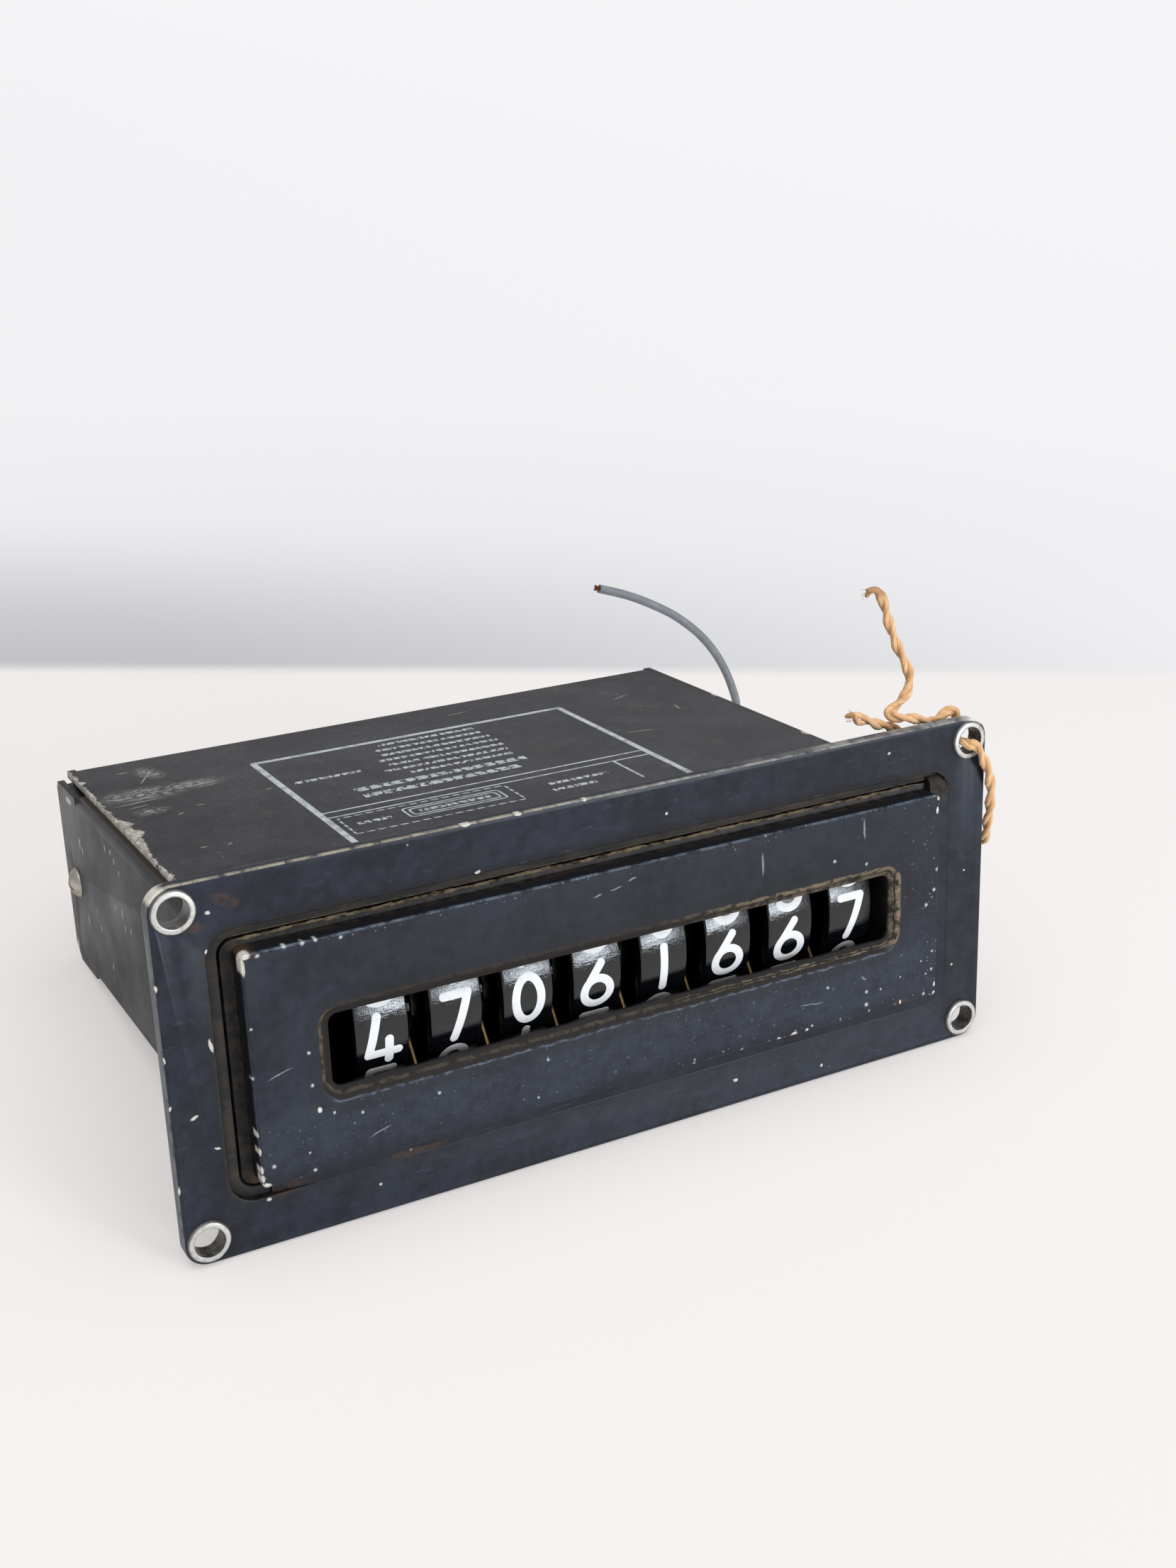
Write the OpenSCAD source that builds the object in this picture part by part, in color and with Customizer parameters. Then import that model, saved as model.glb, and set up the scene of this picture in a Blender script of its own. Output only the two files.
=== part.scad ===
// Panel-mounted industrial counter: eight number wheels behind a framed window, turned by a small motor.
// X runs along the wheels, Y goes back from the panel, Z is up. Millimetres.

/* [Front plate] */
// Width of the front plate
plate_w = 125.4; // [124:0.2:132]
// Height of the front plate
plate_h = 50.8; // [50:0.2:56]
// Thickness of the front plate
plate_t = 2.0; // [1.6:0.1:3]
// Distance of each eyelet's centre from both edges of the plate
hole_inset = 3.2; // [3:0.1:3.6]
// Bore of the eyelets
eyelet_bore = 3.9; // [3.4:0.1:4.1]
// Wall of the eyelet's barrel
eyelet_wall = 0.4; // [0.3:0.05:0.5]
// Diameter of the eyelet's rolled rim
eyelet_rim_d = 5.7; // [5.4:0.1:6]
// Thickness of the rolled rim
eyelet_rim_t = 0.45; // [0.3:0.05:0.6]

/* [Bezel] */
// Width of the plate left free on each side of the raised panel
bezel_side = 10.0; // [9.2:0.1:11]
// Height of the raised panel
bezel_h = 31.6; // [31:0.2:33]
// How far the raised panel stands in front of the plate
bezel_proud = 2.4; // [1.8:0.1:3.4]
// Wall of the bezel
bezel_wall = 1.4; // [1:0.1:1.8]
// Corner radius of the raised panel
bezel_corner_r = 0.9; // [0.6:0.1:2]
// Rounding of the raised panel's front edges
bezel_edge_r = 0.35; // [0.2:0.05:0.6]
// Width of the groove left and right of the raised panel
groove_side = 3.4; // [3:0.1:3.8]
// Width of the groove above and below the raised panel
groove_top = 2.6; // [2.3:0.1:3]
// Corner radius of the opening in the plate
groove_r = 3.5; // [2.5:0.1:4.5]
// Step round the foot of the raised panel, left and right
ledge_side = 1.5; // [1:0.1:1.8]
// Step round the foot of the raised panel, above and below
ledge_top = 0.9; // [0.7:0.1:1.2]
// Open seam between that step and the gasket
seam = 0.35; // [0.2:0.05:0.5]
// Depth of the groove's floor below the plate's face
groove_depth = 1.0; // [0.6:0.1:1.4]
// How far the bezel's flange laps behind the plate
flange_lap = 1.0; // [0.8:0.1:1.4]
// Thickness of the bezel's flange
flange_t = 1.2; // [0.8:0.1:1.6]

/* [Window] */
// Width of the raised panel left and right of the window, before the window's shift
window_side = 9.5; // [7.7:0.1:10.7]
// Height of the window
window_h = 10.0; // [8:0.2:14]
// Corner radius of the window
window_r = 1.3; // [0.8:0.1:2.5]
// How far the window's middle lies right of the plate's middle
window_shift = 1.1; // [0:0.1:2]
// Width of the sloping rim round the window
rim_w = 1.7; // [1:0.1:2.4]
// Depth of the sloping rim
rim_depth = 0.9; // [0.5:0.1:1.2]
// Width of the shallow dished band outside the rim
dish_w = 2.0; // [1:0.1:2.6]
// Depth of the dished band
dish_depth = 0.15; // [0.1:0.05:0.3]

/* [Case] */
// How much wider the case is than the raised panel
case_more = 3.1; // [2.1:0.1:4.6]
// Height of the folded tray
case_h = 30.1; // [29.6:0.1:31.5]
// Depth from the plate's face to the ends of the side ears
case_depth = 80.8; // [79:0.2:92]
// Thickness of the tray's sheet
sheet_t = 1.0; // [0.8:0.1:1.2]
// Outside radius of the bends
bend_r = 1.5; // [1.3:0.1:1.8]
// Width of the tray's inward top flanges
top_flange_w = 8; // [6:0.5:12]
// Length of the flat ears behind the flanges
ear_l = 11.4; // [10.6:0.2:13]
// Corner cut on the ears
ear_cut = 2.3; // [1:0.1:3]
// Thickness of the top cover
cover_t = 1.1; // [0.9:0.1:1.3]
// How far the cover's edge is inset from the tray's side
cover_inset = 1.65; // [1.5:0.05:3]
// Diameter of the side screws' heads
screw_head_d = 4.8; // [4:0.1:5.4]
// Diameter of the side screws' shanks
screw_d = 2.5; // [2:0.1:3]
// Distance of the side screws from the ears' ends
screw_inset = 6.2; // [5:0.1:6.6]

/* [Leads] */
// Diameter of the lead wire
wire_d = 1.6; // [1.2:0.1:1.8]
// Diameter of the twine
twine_d = 1.5; // [1.2:0.1:1.6]
// Diameter of the grommet's rim
grommet_d = 8.4; // [8:0.1:10]
// Distance of the grommet from the case's right side
grommet_inset = 10.25; // [8.25:0.25:14]

/* [Number wheels] */
// Diameter of a number wheel
wheel_d = 26; // [25.6:0.1:26.2]
// Gap between two number wheels
wheel_gap = 3.07; // [2.95:0.01:3.4]
// Distance from the plate's face back to the foremost line of the wheels
wheel_setback = 0.3; // [0.2:0.1:0.6]
// How far the row of wheels lies right of the plate's middle
wheel_shift = 2.3; // [1.6:0.05:2.5]
// Wall of a wheel's rim
rim_t = 1.3; // [1:0.1:1.5]
// Diameter of the wheel shaft
shaft_d = 3.0; // [2.6:0.1:3.4]
// Diameter of a wheel's hub
hub_d = 6.4; // [6:0.1:8]
// Running clearance of a bore round its shaft, on the radius
run_gap = 0.05; // [0.03:0.01:0.08]

/* [Gears] */
// Tooth module of the counting train
tooth_module = 1.032; // [1.031:0.001:1.034]
// Thickness of the gear rings and the transfer discs
gear_t = 1.1; // [0.9:0.05:1.15]
// Thickness of the carrier plates between the wheels
carrier_t = 0.45; // [0.3:0.05:0.6]
// Diameter of the pinion shaft
pinion_shaft_d = 1.6; // [1.4:0.1:1.7]
// Outside diameter of the sleeves on the pinion shaft
sleeve_d = 2.5; // [2.2:0.1:2.6]
// Share of each tooth's thickness taken off as backlash
backlash = 0.09; // [0.07:0.01:0.12]

/* [Movement] */
// Thickness of the bearing plates
frame_t = 1.2; // [1:0.1:1.4]
// Diameter of the lower front rod
rod_d = 2.2; // [2:0.1:2.4]
// Diameter of the motor
motor_d = 26; // [24:0.2:26.2]
// Length of the motor's can
motor_l = 24; // [18:0.5:34]
// Diameter of the motor's shaft
motor_shaft_d = 2.0; // [1.8:0.1:2.2]
// Diameter of the posts that carry the motor
post_d = 3.2; // [3:0.1:3.6]
// Thread size of the screws inside
small_screw_d = 2.0; // [1.6:0.1:2.2]

/* [Hidden] */
$fn = 64;
WHEELS = 8;
// Number shown by each wheel, from the left
READING = [4, 7, 0, 6, 1, 6, 6, 7];

// A decimal train: ten digits, two gear teeth for each
gear_teeth = 20;
pinion_teeth = 8;
pressure_angle = 20;
digit_angle = 36;
// The transfer pinions lie below and behind the wheels, clear of the tray's floor and of the idler
transfer_angle = 34;
// The smallest gap left between parts that move past each other
clear = 0.15;
eps = 0.01;

// The row's own frame has the middle of the box at Y = 0: all depths below count from the plate's face
grommet_nose = 1.8;
face_y = bezel_proud - (bezel_proud + case_depth + grommet_nose) / 2;

// Heights
axis_z = plate_h / 2;
window_z = axis_z;
case_drop = 14.4;
case_z = axis_z - case_drop;
case_top = case_z + case_h;
floor_z = case_z + sheet_t;

// Depths
flange_back = plate_t + flange_t;
wheel_r = wheel_d / 2;
axis_y = wheel_setback + wheel_r;
tray_front = flange_back + bend_r;
flange_end = case_depth - ear_l;
cover_back = case_depth - 0.3;
wall_back = cover_back - cover_t;
grommet_z = axis_z + 0.6;

// Widths that follow from the plate's
bezel_w = plate_w - 2 * bezel_side;
window_w = bezel_w - 2 * window_side;
case_w = bezel_w + case_more;
grommet_x = case_w / 2 - grommet_inset;

// The row of wheels leaves 5.71 mm of the window free at its two ends together
row_margin = 5.71;
wheel_w = (window_w - row_margin - (WHEELS - 1) * wheel_gap) / WHEELS;
wheel_pitch = wheel_w + wheel_gap;

// Opening in the plate and the bezel's flange behind it
opening_w = bezel_w + 2 * groove_side;
opening_h = bezel_h + 2 * groove_top;

// Counting train
gear_pitch_r = tooth_module * gear_teeth / 2;
pinion_pitch_r = tooth_module * pinion_teeth / 2;
centre_distance = gear_pitch_r + pinion_pitch_r;
gear_tip_r = gear_pitch_r + 0.54;
pinion_tip_r = pinion_pitch_r + 0.92;
gear_root_r = centre_distance - pinion_tip_r - 0.25;
pinion_root_r = centre_distance - gear_tip_r - 0.25;
transfer_r = centre_distance - pinion_tip_r - clear;
notch_r = 0.76;
half_w = wheel_w / 2;
hub_half = half_w + gear_t;
pinion_y = axis_y + centre_distance * cos(transfer_angle);
pinion_z = axis_z - centre_distance * sin(transfer_angle);
idler_y = axis_y + 2 * gear_pitch_r;
motor_y = idler_y + centre_distance;

// Bearing plates stand outside the first and the last wheel
left_room = 3.7;
right_room = 2.4;
left_in = wheel_x(1) - hub_half - left_room;
left_out = left_in - frame_t;
right_in = wheel_x(WHEELS) + hub_half + right_room;
right_out = right_in + frame_t;
frame_rise = 14;
frame_top = axis_z + frame_rise;
frame_front = 0.4;
left_depth = 32;
foot_w = 6.8;
foot_reach = 2.6;
rod_y = 2.6;
rod_z = axis_z - 10.6;
rod_end = 0.5;

// Shaft clips
clip_t = 0.6;
clip_gap = 0.05;
clip_depth = 0.3;
shaft_end = 1.4;

// Motor
motor_front = right_in - 5;
ear_plate_t = 1;
gearcase_l = 1.4;
boss_d = 5;
boss_l = 1;
post_reach = 14;
post_y = motor_y + post_reach;
post_spread = 8;
can_start = motor_front - ear_plate_t - gearcase_l - motor_l;

// Screws under the tray
foot_screw_y = [9, 24];
foot_screw_right_y = [12, 54];
foot_head_d = 4.4;
foot_head_h = 1.1;
nut_h = 1.6;
nut_d = 5;
small_head_d = 3.8;
small_head_h = 1.2;

// Routes of the wire and the twine, chosen by hand: X, depth behind the plate's face, Z
WIRE_ROUTE = [
    [44, 81.6, 26], [44, 84, 26], [44.5, 87, 25.8], [46.5, 90, 25], [50, 92.5, 23.5],
    [54.5, 94.5, 21.5], [60, 95.5, 19.6], [66, 96, 18.2], [72, 96, 18], [77, 96, 19.6],
    [80.4, 96, 22.8], [81.4, 96, 26.6], [80.4, 96, 30.4], [78.8, 96, 34.2], [76.4, 96, 38.2],
    [72.8, 96, 42.4], [67.6, 96, 46.6], [62, 96, 49.8], [57, 96, 52.1], [51.5, 96, 54]];
TWINE_ROUTE = [
    [41.2, 4, 53.3], [43.9, 4.1, 52.2], [46.7, 4.5, 51], [49.6, 5.4, 49.8], [52.6, 6.2, 48],
    [56.4, 6.6, 43.6], [60.6, 6.5, 37.4], [63.8, 6, 32.2], [65.6, 4.9, 29.9], [65.9, 3.4, 29.9],
    [65.2, 2, 32.5], [64.4, 0.5, 36.5], [63.5, -0.5, 40.1], [62.1, -1.2, 43.2], [60, -1.4, 46.7],
    [58.8, -0.9, 47.3], [58.5, 0.5, 47.7], [59, 2.2, 47.9], [59.9, 3.6, 48.3], [60.7, 4.4, 49.2],
    [60.8, 4.6, 50.2], [60, 4.5, 50.9], [58.6, 4.3, 50.8], [56.9, 3.9, 50.2], [55.2, 3.7, 50.1],
    [53.4, 3.6, 50.8], [51.6, 3.4, 51.4], [50.3, 3.4, 51.6], [49.3, 3.8, 51.8], [48.9, 4.6, 52],
    [49.3, 5.4, 52.3], [50.3, 5.8, 52.6], [51.5, 5.8, 53.4], [52.9, 5.8, 55.1], [53.3, 6.4, 57.6],
    [51.9, 7.2, 61.2], [50.6, 7.8, 65.2], [49.6, 8, 68.5], [48.3, 8, 69.9], [46.8, 8, 69.7]];
cord_sides = 8;

function wheel_x(i) = wheel_shift + (i - (WHEELS + 1) / 2) * wheel_pitch;
function polar(r, a) = [r * cos(a), r * sin(a)];

// Involute angle in degrees for a pressure angle in degrees
function involute(a) = tan(a) * 180 / PI - a;
// Half of a tooth's angle at radius r, for n teeth on the pitch radius
function half_tooth(n, pitch_r, r) = 90 / n * (1 - backlash) + involute(pressure_angle)
    - involute(acos(min(1, pitch_r * cos(pressure_angle) / r)));
// Outline of a spur gear with one tooth centred on the angle phase: each flank has three points
function gear_points(n, pitch_r, tip_r, root_r, phase) = [
    for (i = [0:n - 1], side = [-1, 1], k = [0:2])
        let (r = [root_r, pitch_r, tip_r][side < 0 ? k : 2 - k])
        polar(r, phase + 360 * i / n + side * half_tooth(n, pitch_r, r))];

// Four corners of the straight sides that join two circles
function belt(c1, r1, c2, r2) =
    let (d = c2 - c1, a = atan2(d[1], d[0]), g = acos((r1 - r2) / norm(d)))
    [c1 + polar(r1, a + g), c2 + polar(r2, a + g), c2 + polar(r2, a - g), c1 + polar(r1, a - g)];

// Moves a shape from depths behind the plate's face into the row's own frame
module in_frame() {
    translate([0, face_y, 0]) children();
}

// Extrudes an X-Z outline backwards from depth y
module back_from(y, length) {
    translate([0, y + length, 0]) rotate([90, 0, 0]) linear_extrude(length) children();
}

// Extrudes a Y-Z outline to the right from x
module right_from(x, length) {
    translate([x, 0, 0]) rotate([90, 0, 90]) linear_extrude(length) children();
}

// A round bar along X
module bar(r, x0, x1, y, z) {
    translate([x0, y, z]) rotate([0, 90, 0]) cylinder(h = x1 - x0, r = r);
}

// A round bar along Y
module peg(r, x, z, y0, y1) {
    translate([x, y0, z]) rotate([-90, 0, 0]) cylinder(h = y1 - y0, r = r);
}

// A rectangle round its own middle, with round corners
module rounded(w, h, r) {
    square([w, h - 2 * r], center = true);
    square([w - 2 * r, h], center = true);
    for (x = [-1, 1], y = [-1, 1])
        translate([x * (w / 2 - r), y * (h / 2 - r)]) circle(r);
}

// A rectangle with only its upper corners round, its lower edge on the X axis
module arch(w, h, r) {
    translate([-w / 2, 0]) square([w, h - r]);
    translate([-w / 2 + r, 0]) square([w - 2 * r, h]);
    for (x = [-1, 1]) translate([x * (w / 2 - r), h - r]) circle(r);
}

// A quarter of a ring between the radii r - t and r, its centre at (r, r)
module bend_section(r, t) {
    intersection() {
        square([r, r]);
        translate([r, r]) difference() {
            circle(r);
            circle(r - t);
        }
    }
}

// An angle section: an upright leg h high, a bend, and a foot w wide
module angle_section(w, h, t, r) {
    bend_section(r, t);
    translate([0, r - eps]) square([t, h - r + eps]);
    translate([r - eps, 0]) square([w - r + eps, t]);
}

module at_eyelets() {
    for (x = [-1, 1], z = [hole_inset, plate_h - hole_inset])
        translate([x * (plate_w / 2 - hole_inset), 0, z]) children();
}

module front_plate() {
    color([0.17, 0.19, 0.23])
    difference() {
        back_from(0, plate_t) difference() {
            translate([0, plate_h / 2]) rounded(plate_w, plate_h, hole_inset);
            translate([0, axis_z]) rounded(opening_w, opening_h, groove_r);
        }
        at_eyelets() peg(eyelet_bore / 2 + eyelet_wall, 0, 0, -1, plate_t + 1);
    }
}

// One eyelet, set in a hole through the plate: a barrel with a rolled rim on both faces
module eyelet() {
    r_in = eyelet_bore / 2;
    r_out = r_in + eyelet_wall;
    roll = eyelet_rim_t / 2;
    rotate([-90, 0, 0]) rotate_extrude() {
        translate([r_in, -roll]) square([eyelet_wall, plate_t + 2 * roll]);
        for (y = [-roll, plate_t + roll]) {
            translate([r_in + roll, y - roll]) square([eyelet_rim_d / 2 - r_in - 2 * roll, 2 * roll]);
            translate([r_in + roll, y]) circle(roll, $fn = 24);
            translate([eyelet_rim_d / 2 - roll, y]) circle(roll, $fn = 24);
        }
    }
}

module eyelets() {
    color([0.62, 0.61, 0.58]) at_eyelets() eyelet();
}

// Round-cornered block from depth y, with its front edges rounded in plan and in section
module soft_block(w, h, r, y, depth, edge) {
    intersection() {
        back_from(y, depth) rounded(w, h, r);
        translate([0, 0, -h]) linear_extrude(2 * h)
            translate([0, y + depth]) mirror([0, 1]) arch(w, depth, edge);
        right_from(-w, 2 * w)
            translate([y + depth, 0]) rotate(90) arch(h, depth, edge);
    }
}

// A thin round-cornered slice at depth y, for a sloping surface between two of them
module slice(w, h, r, y) {
    back_from(y, eps) hull() rounded(w, h, r, $fn = 32);
}

module bezel() {
    face = -bezel_proud;
    color([0.17, 0.19, 0.23])
    translate([0, 0, axis_z])
    difference() {
        union() {
            soft_block(bezel_w, bezel_h, bezel_corner_r, face, bezel_proud + flange_back, bezel_edge_r);
            back_from(groove_depth, flange_back - groove_depth)
                rounded(bezel_w + 2 * ledge_side, bezel_h + 2 * ledge_top, bezel_corner_r + ledge_top);
            back_from(plate_t, flange_t)
                rounded(opening_w + 2 * flange_lap, opening_h + 2 * flange_lap, groove_r + flange_lap);
        }
        back_from(face + bezel_wall, 20)
            rounded(bezel_w - 2 * bezel_wall, bezel_h - 2 * bezel_wall, bezel_corner_r);
        translate([window_shift, 0, window_z - axis_z]) {
            back_from(face - 1, bezel_wall + 2) rounded(window_w, window_h, window_r);
            hull() {
                slice(window_w + 2 * rim_w, window_h + 2 * rim_w, window_r + rim_w / 2, face - eps);
                slice(window_w, window_h, window_r, face + rim_depth);
            }
            hull() {
                slice(window_w + 2 * (rim_w + dish_w), window_h + 2 * (rim_w + dish_w),
                      window_r + rim_w + dish_w / 2, face - eps);
                slice(window_w + 2 * rim_w, window_h + 2 * rim_w, window_r + rim_w / 2, face + dish_depth);
            }
        }
    }
}

module bezel_gasket() {
    color([0.12, 0.11, 0.1])
    translate([0, 0, axis_z])
    back_from(groove_depth, plate_t - groove_depth)
    difference() {
        rounded(opening_w, opening_h, groove_r);
        rounded(bezel_w + 2 * (ledge_side + seam), bezel_h + 2 * (ledge_top + seam),
                bezel_corner_r + ledge_top + seam);
    }
}

// Section across the tray: floor, two walls and two flanges turned in at the top
module tray_section() {
    difference() {
        translate([0, case_h / 2]) difference() {
            rounded(case_w, case_h, bend_r);
            rounded(case_w - 2 * sheet_t, case_h - 2 * sheet_t, bend_r - sheet_t);
        }
        translate([-case_w / 2 + top_flange_w, case_h / 2]) square([case_w - 2 * top_flange_w, case_h]);
    }
}

// The flat ear at the back of each side wall
module ear_outline() {
    back = case_depth;
    polygon([[flange_end - bend_r, case_z + bend_r], [flange_end, case_z + 0.3],
             [back - ear_cut, case_z + 0.3], [back, case_z + 0.3 + ear_cut],
             [back, case_top - 1.1], [back - 0.9, case_top - 0.2],
             [flange_end + 0.6, case_top - 0.2], [flange_end, case_top - bend_r],
             [flange_end - bend_r, case_top - bend_r]]);
}

// A tab turned out at the front of a wall, for the welds behind the bezel's flange
module weld_tab(length) {
    translate([0, 0, -length / 2]) linear_extrude(length)
        translate([0, flange_back]) {
            translate([-sheet_t, 0]) bend_section(bend_r, sheet_t);
            translate([bend_r - sheet_t - eps, 0]) square([2.4 - bend_r + sheet_t, sheet_t]);
        }
}

module chassis_tray() {
    wall_x = case_w / 2;
    color([0.27, 0.28, 0.29])
    difference() {
        union() {
            translate([0, 0, case_z]) back_from(tray_front, flange_end - tray_front) tray_section();
            translate([-wall_x + bend_r + 0.8, flange_end - 1, case_z])
                cube([case_w - 2 * bend_r - 1.6, wall_back - flange_end + 0.8, sheet_t]);
            for (side = [0, 1]) mirror([side, 0, 0]) {
                right_from(wall_x - sheet_t, sheet_t) ear_outline();
                translate([wall_x, 0, axis_z]) weld_tab(22);
            }
            translate([0, 0, case_z]) rotate([0, 90, 0]) weld_tab(60);
        }
        for (side = [-1, 1])
            bar(screw_d / 2 + 0.2, side * wall_x - 2, side * wall_x + 2, case_depth - screw_inset, axis_z + 0.4);
        at_foot_screws() cylinder(h = 4, r = screw_d / 2, center = true);
    }
}

// Section of the cover's back: the rear wall and the two sides that go inside the ears
module rear_section() {
    w = case_w - 2 * sheet_t;
    side_l = ear_l - 2;
    translate([0, cover_back - side_l]) difference() {
        arch(w, side_l, bend_r);
        translate([0, -eps]) arch(w - 2 * cover_t, side_l - cover_t + eps, bend_r - cover_t);
    }
}

module top_cover() {
    w = case_w - 2 * cover_inset;
    top = case_top + cover_t;
    front = flange_back + 0.2;
    wall_w = case_w - 2 * sheet_t - 2 * bend_r - 0.8;
    color([0.23, 0.23, 0.235])
    difference() {
        union() {
            translate([-w / 2, front, case_top]) cube([w, cover_back - bend_r - front, cover_t]);
            translate([-w / 2, cover_back - bend_r, case_top])
                cube([(w - wall_w) / 2, bend_r - 0.4, cover_t]);
            translate([wall_w / 2, cover_back - bend_r, case_top])
                cube([(w - wall_w) / 2, bend_r - 0.4, cover_t]);
            right_from(-wall_w / 2, wall_w)
                translate([cover_back, top]) rotate(180) bend_section(bend_r, cover_t);
            translate([-wall_w / 2, wall_back, case_top - 1.2])
                cube([wall_w, cover_t, 1.2 - bend_r + cover_t + eps]);
            translate([0, 0, floor_z + 0.2]) linear_extrude(case_top - floor_z - 1.2) rear_section();
        }
        for (side = [-1, 1])
            bar(screw_d / 2, side * case_w / 2 - 4, side * case_w / 2 + 4,
                case_depth - screw_inset, axis_z + 0.4);
        peg(grommet_d / 2 - 1, grommet_x, grommet_z, wall_back - 2, cover_back + 2);
    }
}

// Domed head with a slot, its shank pointing to -X
module domed_screw() {
    r = screw_head_d / 2;
    dome = 1.4;
    ball = (r * r + dome * dome) / (2 * dome);
    difference() {
        union() {
            rotate([0, 90, 0]) rotate_extrude() intersection() {
                translate([0, dome - ball]) circle(ball);
                square([r + 1, dome + 1]);
            }
            rotate([0, -90, 0]) cylinder(h = sheet_t + cover_t + 1, r = screw_d / 2);
        }
        rotate([35, 0, 0]) translate([dome - 0.5, -r, -0.3]) cube([2, 2 * r, 0.6]);
    }
}

module side_screws() {
    color([0.66, 0.64, 0.6])
    for (side = [0, 1]) mirror([side, 0, 0])
        translate([case_w / 2, case_depth - screw_inset, axis_z + 0.4]) domed_screw();
}

module wire_grommet() {
    r = grommet_d / 2;
    color([0.1, 0.1, 0.1])
    translate([grommet_x, wall_back, grommet_z]) rotate([-90, 0, 0]) rotate_extrude()
        difference() {
            union() {
                translate([0, -1]) square([r - 0.4, 1]);
                square([r - 1, cover_t]);
                translate([0, cover_t]) square([r - 0.5, 1]);
                translate([r - 0.5, cover_t + 0.5]) circle(0.5, $fn = 24);
                translate([0, cover_t]) square([r - 2, case_depth + grommet_nose - cover_back]);
            }
            translate([0, -5]) square([wire_d / 2, 20]);
        }
}

// Points between the route's own points, on a smooth curve through them all
function spline_point(p, i, t) =
    let (n = len(p) - 1, a = p[max(i - 1, 0)], b = p[i], c = p[min(i + 1, n)], d = p[min(i + 2, n)])
    0.5 * (2 * b + (c - a) * t + (2 * a - 5 * b + 4 * c - d) * t * t
        + (3 * b - a - 3 * c + d) * t * t * t);
function spline(p, steps) = concat(
    [for (i = [0:len(p) - 2], k = [0:steps - 1]) spline_point(p, i, k / steps)], [p[len(p) - 1]]);
function unit(v) = v / norm(v);
function heading(p, i) = unit(p[min(i + 1, len(p) - 1)] - p[max(i - 1, 0)]);
function square_to(v, t) = unit(v - (v * t) * t);

// Round tube along a route, its rings carried from point to point without twist
module cord(route, d, steps) {
    p = spline(route, steps);
    n = len(p);
    side = [for (i = 0, s = square_to([0.1, 0.2, 1], heading(p, 0)); i < n;
                 i = i + 1, s = i < n ? square_to(s, heading(p, i)) : s) s];
    rings = [for (i = [0:n - 1], k = [0:cord_sides - 1])
        let (a = 360 * k / cord_sides, t = heading(p, i))
        p[i] + d / 2 * (cos(a) * side[i] + sin(a) * cross(t, side[i]))];
    walls = [for (i = [0:n - 2], k = [0:cord_sides - 1])
        let (m = (k + 1) % cord_sides, a = i * cord_sides)
        [a + k, a + cord_sides + k, a + cord_sides + m, a + m]];
    ends = [[for (k = [0:cord_sides - 1]) k],
            [for (k = [cord_sides - 1:-1:0]) (n - 1) * cord_sides + k]];
    polyhedron(rings, concat(walls, ends));
}

module lead_wire() {
    color([0.2, 0.2, 0.21])
    translate([grommet_x - WIRE_ROUTE[0][0], case_depth + 0.8 - WIRE_ROUTE[0][1], grommet_z - WIRE_ROUTE[0][2]])
        cord(WIRE_ROUTE, wire_d, 2);
}

module tag_twine() {
    // The route was chosen with the eyelet's middle at X = 59.5, Z = 47.6
    color([0.8, 0.6, 0.36])
    translate([plate_w / 2 - hole_inset - 59.5, 0, plate_h - hole_inset - 47.6])
        cord(TWINE_ROUTE, twine_d, 2);
}

// Bearing plate outline in depth and height, with a chamfered upper front corner
module frame_outline(depth) {
    cut = 4;
    polygon([[frame_front, axis_z - 12.2], [frame_front, frame_top - cut - 2], [frame_front + cut, frame_top - 1],
             [frame_front + cut + 2, frame_top], [depth - cut, frame_top], [depth, frame_top - cut],
             [depth, axis_z - 12.2]]);
}

module frame_holes() {
    bar(shaft_d / 2, left_out - 1, right_out + 1, axis_y, axis_z);
    bar(pinion_shaft_d / 2, left_out - 1, right_out + 1, pinion_y, pinion_z);
    bar(rod_d / 2, left_out - 1, right_out + 1, rod_y, rod_z);
}

// The plate's foot lies on the tray's floor
module frame_foot(y0, y1) {
    translate([0, 0, floor_z]) back_from(y0, y1 - y0) angle_section(foot_w, 4, frame_t, bend_r);
}

module at_foot_screws() {
    for (y = foot_screw_y) translate([left_out - foot_w + frame_t + foot_reach, y, floor_z]) children();
    for (y = foot_screw_right_y) translate([right_out + foot_w - frame_t - foot_reach, y, floor_z]) children();
}

module left_bearing_plate() {
    color([0.14, 0.14, 0.15])
    difference() {
        union() {
            right_from(left_out, frame_t) frame_outline(left_depth);
            translate([left_in, 0, 0]) mirror([1, 0, 0]) frame_foot(5, 29);
        }
        frame_holes();
        at_foot_screws() cylinder(h = 8, r = screw_d / 2, center = true);
    }
}

module right_bearing_plate() {
    color([0.14, 0.14, 0.15])
    difference() {
        union() {
            right_from(right_in, frame_t) frame_outline(post_y + 4);
            translate([right_in, 0, 0]) frame_foot(5, 60);
        }
        frame_holes();
        at_foot_screws() cylinder(h = 8, r = screw_d / 2, center = true);
        bar(shaft_d / 2, right_in - 1, right_out + 1, idler_y, axis_z);
        bar(motor_shaft_d / 2 + run_gap, right_in - 1, right_out + 1, motor_y, axis_z);
        for (s = [-1, 1]) bar(small_screw_d / 2, right_in - 1, right_out + 1, post_y, axis_z + s * post_spread);
    }
}

// Screws from below through the tray's floor and the feet
module frame_screws() {
    color([0.55, 0.53, 0.5])
    at_foot_screws() {
        translate([0, 0, -sheet_t - foot_head_h]) cylinder(h = foot_head_h, r = foot_head_d / 2);
        translate([0, 0, -sheet_t - eps]) cylinder(h = sheet_t + frame_t + nut_h + 0.6, r = screw_d / 2);
    }
}

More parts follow.
